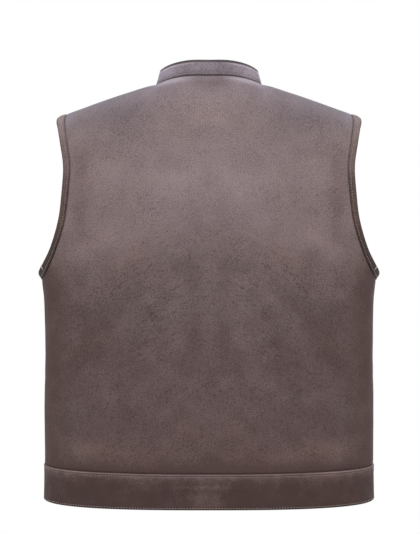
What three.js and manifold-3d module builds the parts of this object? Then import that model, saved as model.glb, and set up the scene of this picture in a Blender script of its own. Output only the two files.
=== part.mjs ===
// A leather vest with a low stand collar, zipped shut and filled out as if worn, with nothing in it.
// Each piece that a maker cuts and sews is one solid: the back, two fronts, three hem bands, the
// collar, two armhole bindings, and the zip's tapes, chain, slider and pull.
//
// Millimetres, +Z up. The wearer faces +Y and has the right hand at +X. The origin is the middle
// of the neck hole, level with the tops of the shoulders beside the collar.
import * as THREE from "three";
import { mergeVertices } from "three/addons/utils/BufferGeometryUtils.js";
import Module from "manifold-3d";

// Leather and seams
const SEAM = 0.3; // space between two pieces that are sewn together
const HIDE = 2; // wall of a body panel, hide and backing
const FOLDED = 3; // wall of a piece folded double: the hem bands and the collar
const PROUD = 0.8; // how far a folded piece stands out past the panel beside it

// Heights
const HEM = -619;
const BAND_TOP = -568;
const UNDERARM = -293;

// Level sections of the worn body, each a superellipse: half the width at the side seams, the
// depth from the side seams to the middle of the back and of the front, and the exponent.
const SECTIONS = [
  { z: HEM, half: 247.5, back: 131, front: 131, square: 2.7 },
  { z: BAND_TOP, half: 247.5, back: 128, front: 133, square: 2.4 },
  { z: -480, half: 248, back: 122, front: 136, square: 2.45 },
  { z: -385, half: 247, back: 119, front: 138, square: 2.45 },
  { z: -320, half: 249, back: 123, front: 141, square: 2.3 },
  { z: UNDERARM, half: 252, back: 126, front: 142, square: 2.25 },
  { z: -230, half: 256, back: 131, front: 141, square: 2.2 },
  { z: -150, half: 259, back: 133, front: 137, square: 2.2 },
  { z: -60, half: 260, back: 131, front: 132, square: 2.2 },
  { z: 0, half: 260, back: 130, front: 130, square: 2.2 },
];

// Half the width of each panel at the armhole's edge.
const ARMHOLE = [
  { z: UNDERARM, back: 252, front: 252 },
  { z: -276, back: 239.5, front: 236.5 },
  { z: -246, back: 224.5, front: 216 },
  { z: -206, back: 211, front: 197 },
  { z: -165, back: 205, front: 189.5 },
  { z: -124, back: 202.5, front: 189.5 },
  { z: -81, back: 209.5, front: 203 },
  { z: -57, back: 214, front: 212 },
  { z: -43, back: 213.5, front: 213.5 },
];

// The top of the shoulder, where the back meets the front, from the centre line out to its tip.
// Inside the neck hole it is only a guide for the slope of the panels beside it.
const SHOULDER = [
  { x: 0, y: -22, z: -2 },
  { x: 40, y: -22, z: -2 },
  { x: 80, y: -22, z: -2.5 },
  { x: 121, y: -20, z: -13.5 },
  { x: 157, y: -17, z: -24.3 },
  { x: 193, y: -12.5, z: -36 },
  { x: 213.5, y: -10, z: -43 },
];
const TIP = SHOULDER[SHOULDER.length - 1];

// The neck seam, seen from above: an ellipse round the origin's axis.
const NECK = { half: 80, depth: 70, y: -22 };

// The back and the front. side: which way the face looks along Y. start: where it begins beside
// the centre line. roll: how far below the shoulder the panel starts to turn over towards it, at
// the neck and at the tip. square: the exponent of that turn. neckRise: how far the panel climbs
// above the shoulder's line, or drops below it, towards the middle of the neck.
const ZIP_EDGE = 6;
const NECK_FLATNESS = 2.5; // how level that climb stays near the middle
const BACK = {
  name: "back",
  side: -1,
  start: 0,
  roll: { neck: 150, tip: 78 },
  square: { neck: 3, tip: 2 },
  neckRise: 22,
};
const FRONT = {
  name: "front",
  side: 1,
  start: ZIP_EDGE,
  roll: { neck: 230, tip: 78 },
  square: { neck: 1.5, tip: 2 },
  neckRise: -26,
};

// Soft troughs and ridges in the leather: the middle of each on its face, half its length and
// half its width, how far it stands out (in if negative), and its slant from upright in degrees.
// Each one is on both sides of the centre line.
const FOLDS = [
  { face: "back", x: 92, z: -190, long: 90, wide: 46, out: 2.4, slant: 8 },
  { face: "back", x: 0, z: -215, long: 95, wide: 30, out: -1.2, slant: 0 },
  { face: "back", x: 100, z: -248, long: 92, wide: 24, out: 1.6, slant: -58 },
  { face: "back", x: 116, z: -312, long: 98, wide: 22, out: -2.2, slant: -54 },
  { face: "back", x: 196, z: -440, long: 110, wide: 16, out: 2.0, slant: 4 },
  { face: "back", x: 120, z: -500, long: 100, wide: 22, out: -1.6, slant: -12 },
  { face: "front", x: 104, z: -200, long: 90, wide: 44, out: 2.6, slant: -6 },
  { face: "front", x: 140, z: -322, long: 90, wide: 20, out: -2.4, slant: -55 },
  { face: "front", x: 190, z: -430, long: 110, wide: 16, out: 2.0, slant: 5 },
  { face: "front", x: 70, z: -470, long: 120, wide: 22, out: -1.8, slant: 8 },
];

// Columns and rows of the panels' walls
const NECK_COLUMNS = 8;
const SHOULDER_COLUMNS = 10;
const COLUMNS = NECK_COLUMNS + SHOULDER_COLUMNS;
const TRUNK_ROWS = 8;
const ARMHOLE_ROWS = 10;
const ROLL_ROWS = 8;
const BAND_ROWS = 2;
const ARMHOLE_CROWDING = 1.8; // crowds the armhole's rows towards the underarm, where it turns

// Collar
const COLLAR_HEIGHT = 25;
const COLLAR_LEAN = { back: 18, front: 8 }; // degrees in from upright
const COLLAR_CORNER = 11; // radius of the corner at each front end
const COLLAR_ROWS = 2;

// Armhole binding: its section, across from the panel's edge and out from the panel's face
const BINDING = [
  { across: SEAM, out: -2.5 },
  { across: 9.9, out: -2.7 },
  { across: 11.9, out: -2 },
  { across: 12.6, out: -0.8 },
  { across: 11.9, out: 0.4 },
  { across: 9.9, out: 1 },
  { across: 1.2, out: 0.8 },
  { across: SEAM, out: 0.2 },
];
const BINDING_FLARE = { out: 0.45, reach: 26 }; // it leans outwards round the underarm

// Zip
const TAPE_HALF = 15;
const TAPE_MIDDLE = 0.2;
const TAPE_OUT = -2.5; // face of the tape, behind the panels
const TAPE_THICK = 0.8;
const CHAIN_HALF = 3.4;
const CHAIN = { front: -0.2, back: -2.2 };
const ZIP_RISE = 2; // the zip starts this far above the hem
const SLIDER = { fromTop: 13, length: 13, half: 4.2, back: -2.2, front: 2 };
const CROWN = { half: 1.2, reach: 3.2, y: 4.6, z: 2.2, hole: 1.3 };
const PULL = { bar: 0.9, eyeHalf: 1.7, eyeEnd: 4.4, half: 3.6, thick: 1.4, length: 25, rest: 8 };

const LEATHER_BROWN = new THREE.MeshStandardMaterial({ color: 0x6b5650, roughness: 0.62 });
const BINDING_BROWN = new THREE.MeshStandardMaterial({ color: 0x5d4943, roughness: 0.6 });
const TAPE_BROWN = new THREE.MeshStandardMaterial({ color: 0x2b211e, roughness: 0.9 });
const OLD_BRASS = new THREE.MeshStandardMaterial({ color: 0x8a7350, roughness: 0.4, metalness: 1 });

const mix = (a, b, share) => a + (b - a) * share;
const clamp = (value) => Math.min(Math.max(value, 0), 1);
const smooth = (value) => clamp(value) ** 2 * (3 - 2 * clamp(value));
const radians = (degrees) => (degrees * Math.PI) / 180;
const mirrored = (point) => new THREE.Vector3(-point.x, point.y, point.z);

// One column of a table at a height, or at a width, along a smooth curve through its rows.
function read(table, column, at, key = "z") {
  const last = table.length - 1;
  let i = 0;
  while (i < last - 1 && at > table[i + 1][key]) i += 1;
  const slope = (k) => {
    const [low, high] = [table[Math.max(k - 1, 0)], table[Math.min(k + 1, last)]];
    return (high[column] - low[column]) / (high[key] - low[key]);
  };
  const rise = table[i + 1][key] - table[i][key];
  const t = clamp((at - table[i][key]) / rise);
  const [start, end] = [table[i][column], table[i + 1][column]];
  const bend = (1 - t) * (rise * slope(i) - (end - start)) - t * (rise * slope(i + 1) - (end - start));
  return mix(start, end, t) + t * (1 - t) * bend;
}

// Shares of the half width that space points evenly round a quarter of a section.
function evenShares(count) {
  const fine = 400;
  const flatness = 0.52;
  const at = (k) => {
    const angle = (k / fine) * (Math.PI / 2);
    const power = 2 / SECTIONS[0].square;
    return [Math.sin(angle) ** power, flatness * Math.cos(angle) ** power];
  };
  const lengths = [0];
  for (let k = 1; k <= fine; k += 1) {
    const [a, b] = [at(k - 1), at(k)];
    lengths.push(lengths[k - 1] + Math.hypot(b[0] - a[0], b[1] - a[1]));
  }
  return Array.from({ length: count + 1 }, (_, i) => {
    const want = (i / count) * lengths[fine];
    const k = lengths.findIndex((length) => length >= want - 1e-9);
    return at(k)[0];
  });
}
const HEM_SHARES = evenShares(COLUMNS);

// The angle on the neck seam of a panel's column, counted from its centre line to the shoulder.
// It runs from the middle of the back to the middle of the front.
function neckAngle(face, column) {
  const first = Math.asin(face.start / NECK.half);
  const fromCentre = mix(first, Math.PI / 2, Math.min(column / NECK_COLUMNS, 1));
  return face.side < 0 ? fromCentre : Math.PI - fromCentre;
}

// How far the soft folds push a face outwards.
function foldOut(face, x, z) {
  let out = 0;
  for (const fold of FOLDS.filter((f) => f.face === face.name)) {
    const turn = radians(fold.slant);
    const [dx, dz] = [x - fold.x, z - fold.z];
    const along = (dx * Math.sin(turn) + dz * Math.cos(turn)) / fold.long;
    const across = (dx * Math.cos(turn) - dz * Math.sin(turn)) / fold.wide;
    out += fold.out * Math.exp(-along * along - across * across);
  }
  return out;
}

// The y of a face at a width and height, before the top rolls over. The folds fade at the sides.
function faceY(face, x, z) {
  const share = Math.min(x / read(SECTIONS, "half", z), 1);
  const square = read(SECTIONS, "square", z);
  const depth = read(SECTIONS, face.name, z) * (1 - share ** square) ** (1 / square);
  const fold = foldOut(face, x, z) * (1 - share ** 4) * smooth((z - HEM) / 60);
  return face.side * (depth + fold + SEAM / 2);
}

function trunkPoint(face, column, z) {
  const x = mix(face.start, read(SECTIONS, "half", z), HEM_SHARES[column]);
  return new THREE.Vector3(x, faceY(face, x, z), z);
}

// How a panel turns over towards the shoulder at a width.
function rollAt(face, x) {
  const share = smooth((x - NECK.half / 2) / (TIP.x - NECK.half / 2));
  const climb = Math.max(1 - (x / NECK.half) ** NECK_FLATNESS, 0) ** 1.5;
  return {
    topY: read(SHOULDER, "y", x, "x"),
    topZ: read(SHOULDER, "z", x, "x") + face.neckRise * climb,
    depth: mix(face.roll.neck, face.roll.tip, share),
    power: 2 / mix(face.square.neck, face.square.tip, share),
  };
}

// The height and the y of that turn. turn runs from 0, where it starts, to a right angle.
function rollPoint(face, x, turn) {
  const { topY, topZ, depth, power } = rollAt(face, x);
  const z = topZ - depth * (1 - Math.sin(turn) ** power);
  const y = mix(topY, faceY(face, x, z), Math.max(Math.cos(turn), 0) ** power);
  return new THREE.Vector3(x, y, z);
}

// How far the turn goes at an angle on the neck seam: to the top at the shoulder, less elsewhere.
function neckTurn(angle) {
  const face = angle < Math.PI / 2 ? BACK : FRONT;
  const x = NECK.half * Math.sin(angle);
  const y = NECK.y - NECK.depth * Math.cos(angle);
  const { topY, power } = rollAt(face, x);
  let turn = Math.PI / 4;
  for (let pass = 0; pass < 12; pass += 1) {
    const base = faceY(face, x, rollPoint(face, x, turn).z);
    turn = Math.acos(clamp((y - topY) / (base - topY)) ** (1 / power));
  }
  return turn;
}

// A point of the neck seam. Angles on the wearer's left are negative.
function neckPoint(angle) {
  const size = Math.abs(angle);
  const face = size < Math.PI / 2 ? BACK : FRONT;
  const point = rollPoint(face, NECK.half * Math.sin(size), neckTurn(size));
  point.y = NECK.y - NECK.depth * Math.cos(size);
  return angle < 0 ? mirrored(point) : point;
}

// A point above the underarm. rise counts the armhole's rows, and then the roll's.
function yokePoint(face, column, rise) {
  const angle = neckAngle(face, column);
  const onNeck = column <= NECK_COLUMNS;
  const topX = onNeck
    ? NECK.half * Math.sin(angle)
    : mix(NECK.half, TIP.x, (column - NECK_COLUMNS) / SHOULDER_COLUMNS);
  const topShare = (topX - face.start) / (TIP.x - face.start);
  const end = column < NECK_COLUMNS ? neckTurn(angle) : Math.PI / 2;
  const turn = (end * Math.max(rise - ARMHOLE_ROWS, 0)) / ROLL_ROWS;
  const climb = Math.min(rise / ARMHOLE_ROWS, 1) ** ARMHOLE_CROWDING;
  const share = mix(HEM_SHARES[column], topShare, smooth(rise / (ARMHOLE_ROWS + ROLL_ROWS)));

  let point = new THREE.Vector3(topX, 0, 0);
  for (let pass = 0; pass < 6; pass += 1) {
    const { topZ, depth } = rollAt(face, point.x);
    const z = climb < 1 ? mix(UNDERARM, topZ - depth, climb) : rollPoint(face, point.x, turn).z;
    const edge = read(ARMHOLE, face.name, z);
    point = new THREE.Vector3(mix(face.start, edge, share), 0, z);
  }
  if (climb < 1) return point.setY(faceY(face, point.x, point.z));
  const rolled = rollPoint(face, point.x, turn);
  const atTop = rise === ARMHOLE_ROWS + ROLL_ROWS;
  if (atTop && column < NECK_COLUMNS) rolled.y = NECK.y - NECK.depth * Math.cos(angle);
  if (atTop && column >= NECK_COLUMNS) rolled.y += (face.side * SEAM) / 2;
  return rolled;
}

// The outward unit normals of a grid whose rows go up and whose columns go counterclockwise seen
// from above. At the points that level picks, a seam, the normal has no part along Y.
function normalsOf(points, level) {
  return points.map((row, r) =>
    row.map((point, c) => {
      const along = row[Math.min(c + 1, row.length - 1)].clone().sub(row[Math.max(c - 1, 0)]);
      const up = points[Math.min(r + 1, points.length - 1)][c]
        .clone()
        .sub(points[Math.max(r - 1, 0)][c]);
      const normal = along.cross(up);
      if (level && level(r, c)) normal.y = 0;
      return normal.normalize();
    }),
  );
}

// A closed solid from a list of vertices and the faces between them.
function geometryOf(vertices, faces) {
  const geometry = new THREE.BufferGeometry();
  geometry.setAttribute(
    "position",
    new THREE.Float32BufferAttribute(vertices.flatMap((v) => v.toArray()), 3),
  );
  geometry.setIndex(faces.flat());
  geometry.computeVertexNormals();
  return geometry;
}

// A wall of even thickness over a grid of points: its face lies at out, and its back at out - thick.
function wall({ points, normals }, out, thick) {
  const rows = points.length;
  const columns = points[0].length;
  const layer = (offset) =>
    points.flatMap((row, r) =>
      row.map((point, c) => point.clone().addScaledVector(normals[r][c], offset)),
    );
  const vertices = [...layer(out), ...layer(out - thick)];
  const face = (r, c) => r * columns + c;
  const back = (r, c) => rows * columns + face(r, c);
  const faces = [];
  const quad = (a, b, c, d) => faces.push([a, b, c], [a, c, d]);
  for (let r = 0; r < rows - 1; r += 1) {
    for (let c = 0; c < columns - 1; c += 1) {
      const [low, high] = [points[r], points[r + 1]];
      const corners = [[r, c], [r, c + 1], [r + 1, c + 1], [r + 1, c]];
      // Split along the shorter diagonal.
      if (low[c].distanceTo(high[c + 1]) > low[c + 1].distanceTo(high[c])) {
        corners.push(corners.shift());
      }
      quad(...corners.map((corner) => face(...corner)));
      quad(...[0, 3, 2, 1].map((k) => back(...corners[k])));
    }
    const last = columns - 1;
    quad(face(r, 0), face(r + 1, 0), back(r + 1, 0), back(r, 0));
    quad(face(r, last), back(r, last), back(r + 1, last), face(r + 1, last));
  }
  for (let c = 0; c < columns - 1; c += 1) {
    const last = rows - 1;
    quad(face(0, c), back(0, c), back(0, c + 1), face(0, c + 1));
    quad(face(last, c), face(last, c + 1), back(last, c + 1), back(last, c));
  }
  return geometryOf(vertices, faces);
}

// A closed ring: one section repeated round a loop.
function ring(sections) {
  const count = sections.length;
  const size = sections[0].length;
  const at = (s, k) => (s % count) * size + (k % size);
  const faces = [];
  for (let s = 0; s < count; s += 1) {
    for (let k = 0; k < size; k += 1) {
      faces.push([at(s, k), at(s + 1, k + 1), at(s, k + 1)]);
      faces.push([at(s, k), at(s + 1, k), at(s + 1, k + 1)]);
    }
  }
  return geometryOf(sections.flat(), faces);
}

// A grid for one panel: half of it, from the centre line to the side, or both halves of the back.
function bothWays(face, half) {
  const left = half.map(mirrored).reverse();
  if (face.side < 0) return [...left, ...half.slice(1)];
  return half;
}

function bodyPanel(face) {
  const columns = Array.from({ length: COLUMNS + 1 }, (_, c) => c);
  const points = [];
  for (let r = 0; r < TRUNK_ROWS; r += 1) {
    const z = mix(BAND_TOP, UNDERARM, r / TRUNK_ROWS);
    points.push(bothWays(face, columns.map((c) => trunkPoint(face, c, z))));
  }
  for (let rise = 0; rise <= ARMHOLE_ROWS + ROLL_ROWS; rise += 1) {
    points.push(bothWays(face, columns.map((c) => yokePoint(face, c, rise))));
  }
  return gridOf(face, points, true);
}

function hemBand(face) {
  const columns = Array.from({ length: COLUMNS + 1 }, (_, c) => c);
  const points = [];
  for (let r = 0; r <= BAND_ROWS; r += 1) {
    const z = mix(HEM, BAND_TOP - SEAM, r / BAND_ROWS);
    points.push(bothWays(face, columns.map((c) => trunkPoint(face, c, z))));
  }
  return gridOf(face, points, false);
}

// Points and normals of a panel. The front's half runs from the side to the zip, which is
// counterclockwise seen from above.
function gridOf(face, points, hasShoulder) {
  const rows = face.side < 0 ? points : points.map((row) => [...row].reverse());
  const across = rows[0].length - 1;
  const top = rows.length - 1;
  const fromCentre = (c) => (face.side < 0 ? Math.abs(c - across / 2) : across - c);
  const level = (r, c) => {
    const atSide = fromCentre(c) === COLUMNS && (!hasShoulder || r <= TRUNK_ROWS);
    return atSide || (hasShoulder && r === top && fromCentre(c) >= NECK_COLUMNS);
  };
  const normals = normalsOf(rows, level);
  // On the neck seam the columns run along the edge, so their normals follow the rows below.
  if (hasShoulder) {
    normals[top] = normals[top].map((normal, c) => {
      if (fromCentre(c) >= NECK_COLUMNS) return normal;
      return normals[top - 1][c].clone().multiplyScalar(2).sub(normals[top - 2][c]).normalize();
    });
  }
  return { points: rows, normals };
}

// The same grid on the other side of the wearer.
function otherSide({ points, normals }) {
  const flip = (rows) => rows.map((row) => row.map(mirrored).reverse());
  return { points: flip(points), normals: flip(normals) };
}

// The collar's outer face. It starts just past the neck seam and leans in towards the neck.
function collarGrid() {
  const quarter = (face) =>
    Array.from({ length: NECK_COLUMNS + 1 }, (_, c) => neckAngle(face, c)).sort((a, b) => a - b);
  const marks = [...quarter(BACK), ...quarter(FRONT).slice(1)];
  const endAngle = Math.PI - Math.asin((ZIP_EDGE + 1.5) / NECK.half);
  const corner = [0.86, 0.93, 0.975].map((share) => share * endAngle);
  const half = [...marks.filter((a) => a < corner[0] - 0.02), ...corner, endAngle];
  const angles = [...half.slice(1).reverse().map((a) => -a), ...half];

  // A point of the panels' edges, which run straight between their columns.
  const onSeam = (angle) => {
    const size = Math.abs(angle);
    const i = Math.max(marks.findIndex((mark) => mark >= size), 1);
    const share = (size - marks[i - 1]) / (marks[i] - marks[i - 1]);
    const point = neckPoint(marks[i - 1]).lerp(neckPoint(marks[i]), share);
    return angle < 0 ? mirrored(point) : point;
  };
  const tangent = (angle) => neckPoint(angle + 0.01).sub(neckPoint(angle - 0.01)).normalize();
  const seat = (angle) => {
    const lift = new THREE.Vector3(-Math.sin(angle), Math.cos(angle), 1);
    const along = tangent(angle);
    lift.addScaledVector(along, -lift.dot(along)).normalize();
    return onSeam(angle).addScaledVector(lift, SEAM * 1.6);
  };
  const upward = (angle) => {
    const along = tangent(angle);
    const forward = ((1 - Math.cos(angle)) / 2) ** 2;
    const lean = radians(mix(COLLAR_LEAN.back, COLLAR_LEAN.front, forward));
    const up = new THREE.Vector3(
      -Math.sin(angle) * Math.sin(lean),
      Math.cos(angle) * Math.sin(lean),
      Math.cos(lean),
    );
    return up.addScaledVector(along, -up.dot(along)).normalize();
  };
  const end = seat(endAngle);
  const heightAt = (angle) => {
    const fromEnd = seat(Math.abs(angle)).distanceTo(end);
    const short = Math.max(COLLAR_CORNER - fromEnd, 0);
    return COLLAR_HEIGHT - COLLAR_CORNER + Math.sqrt(COLLAR_CORNER ** 2 - short ** 2);
  };
  const points = [];
  for (let r = 0; r <= COLLAR_ROWS; r += 1) {
    points.push(
      angles.map((a) => seat(a).addScaledVector(upward(a), (heightAt(a) * r) / COLLAR_ROWS)),
    );
  }
  return { points, normals: normalsOf(points) };
}

// The binding round the armhole on the wearer's right, on the edges of the back and the front.
function bindingRing(back, front) {
  const edge = (grid, column, inner) =>
    grid.points.slice(TRUNK_ROWS).map((row, r) => ({
      point: row[column],
      normal: grid.normals[r + TRUNK_ROWS][column],
      inside: row[inner],
    }));
  const last = back.points[0].length - 1;
  const up = edge(back, last, last - 1);
  const down = edge(front, 0, 1).reverse();
  const join = (a, b) => ({
    point: a.point.clone().lerp(b.point, 0.5),
    normal: a.normal.clone().add(b.normal).normalize(),
    inside: a.inside.clone().lerp(b.inside, 0.5),
  });
  const loop = [
    join(up[0], down[down.length - 1]),
    ...up.slice(1, -1),
    join(up[up.length - 1], down[0]),
    ...down.slice(1, -1),
  ];
  return loop.map(({ point, normal, inside }, i) => {
    const next = loop[(i + 1) % loop.length].point;
    const before = loop[(i + loop.length - 1) % loop.length].point;
    const along = next.clone().sub(before).normalize();
    const across = along.clone().cross(normal).normalize();
    if (across.dot(point.clone().sub(inside)) < 0) across.negate();
    const low = Math.exp(-(((point.z - UNDERARM) / BINDING_FLARE.reach) ** 2));
    const lean = across.clone().addScaledVector(normal, BINDING_FLARE.out * low).normalize();
    const square = along.clone().cross(lean).normalize();
    if (square.dot(normal) < 0) square.negate();
    return BINDING.map((b) =>
      point.clone().addScaledVector(lean, b.across).addScaledVector(square, b.out),
    );
  });
}

// The line of the zip: the front panel's edge from the hem to the neck, moved to the centre line.
function zipLine(band, front) {
  const last = front.points[0].length - 1;
  const rows = [...band.points.slice(0, -1), ...front.points];
  const normals = [...band.normals.slice(0, -1), ...front.normals];
  return rows.map((row, r) => ({
    edge: row[last],
    edgeNormal: normals[r][last],
    next: row[last - 1],
    nextNormal: normals[r][last - 1],
  }));
}

// The part of the zip's line from ZIP_RISE above the hem to a distance below the top.
function zipRows(line, fromTop) {
  const lerpRow = (a, b, t) =>
    Object.fromEntries(Object.keys(a).map((key) => [key, a[key].clone().lerp(b[key], t)]));
  const cut = (rows, distance) => {
    let left = distance;
    for (let i = 1; i < rows.length; i += 1) {
      const step = rows[i].edge.distanceTo(rows[i - 1].edge);
      if (step > left) return [lerpRow(rows[i - 1], rows[i], left / step), ...rows.slice(i)];
      left -= step;
    }
    return rows.slice(-1);
  };
  const above = cut(line, ZIP_RISE);
  return cut(above.reverse(), fromTop).reverse();
}

function tapeGrid(line) {
  const rows = zipRows(line, 2);
  const points = rows.map(({ edge, next }) => {
    const share = (TAPE_HALF - ZIP_EDGE) / (next.x - edge.x);
    const middle = new THREE.Vector3(TAPE_MIDDLE, edge.y, edge.z);
    return [edge.clone().lerp(next, share), edge.clone(), middle];
  });
  const normals = rows.map(({ edge, next, edgeNormal, nextNormal }) => {
    const share = (TAPE_HALF - ZIP_EDGE) / (next.x - edge.x);
    const outer = edgeNormal.clone().lerp(nextNormal, share).normalize();
    return [outer, edgeNormal.clone(), edgeNormal.clone().setX(0).normalize()];
  });
  return { points, normals };
}

function chainGrid(line) {
  const rows = zipRows(line, SLIDER.fromTop + SLIDER.length / 2 + SEAM);
  const points = rows.map(({ edge }) =>
    [CHAIN_HALF, -CHAIN_HALF].map((x) => new THREE.Vector3(x, edge.y, edge.z)),
  );
  const normals = rows.map(({ edgeNormal }) =>
    [0, 1].map(() => edgeNormal.clone().setX(0).normalize()),
  );
  return { points, normals };
}

// Hard pieces are cut and joined as solids. In their own frame X runs across the zip, Y out of it
// and Z up it.
const wasm = await Module();
wasm.setup();

function solid(geometry) {
  const bare = geometry.clone();
  bare.deleteAttribute("normal");
  bare.deleteAttribute("uv");
  const merged = mergeVertices(bare, 1e-4);
  return new wasm.Manifold(
    new wasm.Mesh({
      numProp: 3,
      vertProperties: new Float32Array(merged.attributes.position.array),
      triVerts: new Uint32Array(merged.index.array),
    }),
  );
}

function geometryFrom(manifold) {
  const mesh = manifold.getMesh();
  const geometry = new THREE.BufferGeometry();
  geometry.setAttribute("position", new THREE.Float32BufferAttribute(mesh.vertProperties, 3));
  geometry.setIndex(new THREE.Uint32BufferAttribute(mesh.triVerts, 1));
  geometry.computeVertexNormals();
  return geometry;
}

// An outline in X and Z, as a plate that fills Y from back to front.
function plate(shape, back, front) {
  const geometry = new THREE.ExtrudeGeometry(shape, {
    depth: front - back,
    bevelEnabled: false,
    curveSegments: 8,
  });
  return geometry.rotateX(Math.PI / 2).translate(0, front, 0);
}

// An outline in Z and Y, as a plate that fills X from -half to half.
function crossPlate(shape, half) {
  const geometry = new THREE.ExtrudeGeometry(shape, {
    depth: half * 2,
    bevelEnabled: false,
    curveSegments: 8,
  });
  return geometry.rotateY(Math.PI / 2).translate(-half, 0, 0);
}

function cylinderAlongX(radius, half) {
  return new THREE.CylinderGeometry(radius, radius, half * 2, 16).rotateZ(Math.PI / 2);
}

// The slider: a shield-shaped body with an upright crown that the pull hangs in.
function sliderGeometry() {
  const { half, length, back, front } = SLIDER;
  const waist = half * 0.72;
  const shield = new THREE.Shape();
  shield.moveTo(-waist, -length / 2);
  shield.lineTo(waist, -length / 2);
  shield.lineTo(half, length * 0.12);
  shield.quadraticCurveTo(half, length / 2, half * 0.5, length / 2);
  shield.lineTo(-half * 0.5, length / 2);
  shield.quadraticCurveTo(-half, length / 2, -half, length * 0.12);
  shield.lineTo(-waist, -length / 2);

  // Seen from the side, with Z drawn along -X because of the turn that crossPlate makes.
  const crown = new THREE.Shape();
  crown.moveTo(-CROWN.z - CROWN.reach, front - 0.5);
  crown.lineTo(-CROWN.z - CROWN.reach, CROWN.y);
  crown.absarc(-CROWN.z, CROWN.y, CROWN.reach, Math.PI, 0, true);
  crown.lineTo(-CROWN.z + CROWN.reach, front - 0.5);
  crown.lineTo(-CROWN.z - CROWN.reach, front - 0.5);

  const hole = cylinderAlongX(CROWN.hole, CROWN.half + 1).translate(0, CROWN.y, CROWN.z);
  const body = solid(plate(shield, back, front));
  return geometryFrom(body.add(solid(crossPlate(crown, CROWN.half))).subtract(solid(hole)));
}

// The pull: a plate with an eye, whose top bar runs through the crown. Its own origin is that bar.
function pullGeometry() {
  const { bar, eyeHalf, eyeEnd, half, thick, length } = PULL;
  const outline = new THREE.Shape();
  outline.moveTo(-half, bar);
  outline.lineTo(-half * 0.9, -eyeEnd - 2);
  outline.lineTo(-half, -length + half);
  outline.absarc(0, -length + half, half, Math.PI, 2 * Math.PI, false);
  outline.lineTo(half * 0.9, -eyeEnd - 2);
  outline.lineTo(half, bar);
  outline.lineTo(-half, bar);
  const eye = new THREE.BoxGeometry(eyeHalf * 2, thick * 4, eyeEnd + bar * 2);
  eye.translate(0, 0, -(eyeEnd - bar * 2) / 2);
  const body = solid(plate(outline, -thick / 2, thick / 2)).subtract(solid(eye));
  return geometryFrom(body.add(solid(cylinderAlongX(bar, half))));
}

// Everything that sits at the top of the zip, in a group turned to the slope of the front.
function sliderGroup(line) {
  const [at] = zipRows(line, SLIDER.fromTop).slice(-1);
  const out = at.edgeNormal.clone().setX(0).normalize();
  const group = new THREE.Group();
  group.position.set(0, at.edge.y, at.edge.z);
  group.rotation.x = Math.atan2(out.z, out.y);
  const slider = named("zip_slider", sliderGeometry(), OLD_BRASS);
  const pull = named("zip_pull", pullGeometry(), OLD_BRASS);
  pull.position.set(0, CROWN.y, CROWN.z);
  pull.rotation.x = -radians(PULL.rest);
  group.add(slider, pull);
  return group;
}

function named(name, geometry, material) {
  const mesh = new THREE.Mesh(geometry, material);
  mesh.name = name;
  return mesh;
}

const vest = new THREE.Group();
const back = bodyPanel(BACK);
const front = bodyPanel(FRONT);
const backBand = hemBand(BACK);
const frontBand = hemBand(FRONT);
const collar = collarGrid();
const binding = bindingRing(back, front);
const line = zipLine(frontBand, front);
const tape = tapeGrid(line);

vest.add(named("back_panel", wall(back, 0, HIDE), LEATHER_BROWN));
vest.add(named("front_panel_right", wall(front, 0, HIDE), LEATHER_BROWN));
vest.add(named("front_panel_left", wall(otherSide(front), 0, HIDE), LEATHER_BROWN));
vest.add(named("hem_band_back", wall(backBand, PROUD, FOLDED), LEATHER_BROWN));
vest.add(named("hem_band_right", wall(frontBand, PROUD, FOLDED), LEATHER_BROWN));
vest.add(named("hem_band_left", wall(otherSide(frontBand), PROUD, FOLDED), LEATHER_BROWN));
vest.add(named("collar", wall(collar, 0, FOLDED), LEATHER_BROWN));
vest.add(named("armhole_binding_right", ring(binding), BINDING_BROWN));
const bindingLeft = binding.map((section) => section.map(mirrored).reverse());
vest.add(named("armhole_binding_left", ring(bindingLeft), BINDING_BROWN));
vest.add(named("zip_tape_right", wall(tape, TAPE_OUT, TAPE_THICK), TAPE_BROWN));
vest.add(named("zip_tape_left", wall(otherSide(tape), TAPE_OUT, TAPE_THICK), TAPE_BROWN));
const chain = wall(chainGrid(line), CHAIN.front, CHAIN.front - CHAIN.back);
vest.add(named("zip_chain", chain, OLD_BRASS));
vest.add(sliderGroup(line));

export default vest;
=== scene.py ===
import math
import bpy
import numpy as np
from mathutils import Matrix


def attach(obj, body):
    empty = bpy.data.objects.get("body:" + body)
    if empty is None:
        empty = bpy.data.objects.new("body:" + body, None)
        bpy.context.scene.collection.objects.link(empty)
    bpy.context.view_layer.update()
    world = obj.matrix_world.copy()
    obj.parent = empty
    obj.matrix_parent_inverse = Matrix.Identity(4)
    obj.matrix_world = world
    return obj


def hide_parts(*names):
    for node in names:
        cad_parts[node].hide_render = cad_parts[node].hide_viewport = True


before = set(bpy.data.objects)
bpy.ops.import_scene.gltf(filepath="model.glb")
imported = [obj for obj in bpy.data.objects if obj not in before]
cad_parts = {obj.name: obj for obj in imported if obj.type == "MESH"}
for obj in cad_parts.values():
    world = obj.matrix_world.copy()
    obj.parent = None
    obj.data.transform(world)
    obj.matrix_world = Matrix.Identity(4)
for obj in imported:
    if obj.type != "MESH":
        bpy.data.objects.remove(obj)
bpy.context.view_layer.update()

# Camera
# The vest is seen from behind, at the height of its middle, from about two metres.
camera = bpy.data.objects.new("camera", bpy.data.cameras.new("camera"))
bpy.context.collection.objects.link(camera)
bpy.context.scene.camera = camera
camera.location = (0.0015, -2.1, -0.273)
camera.rotation_euler = (math.radians(90), 0, 0)
camera.data.lens = 93.4
camera.data.sensor_width = 36

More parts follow.
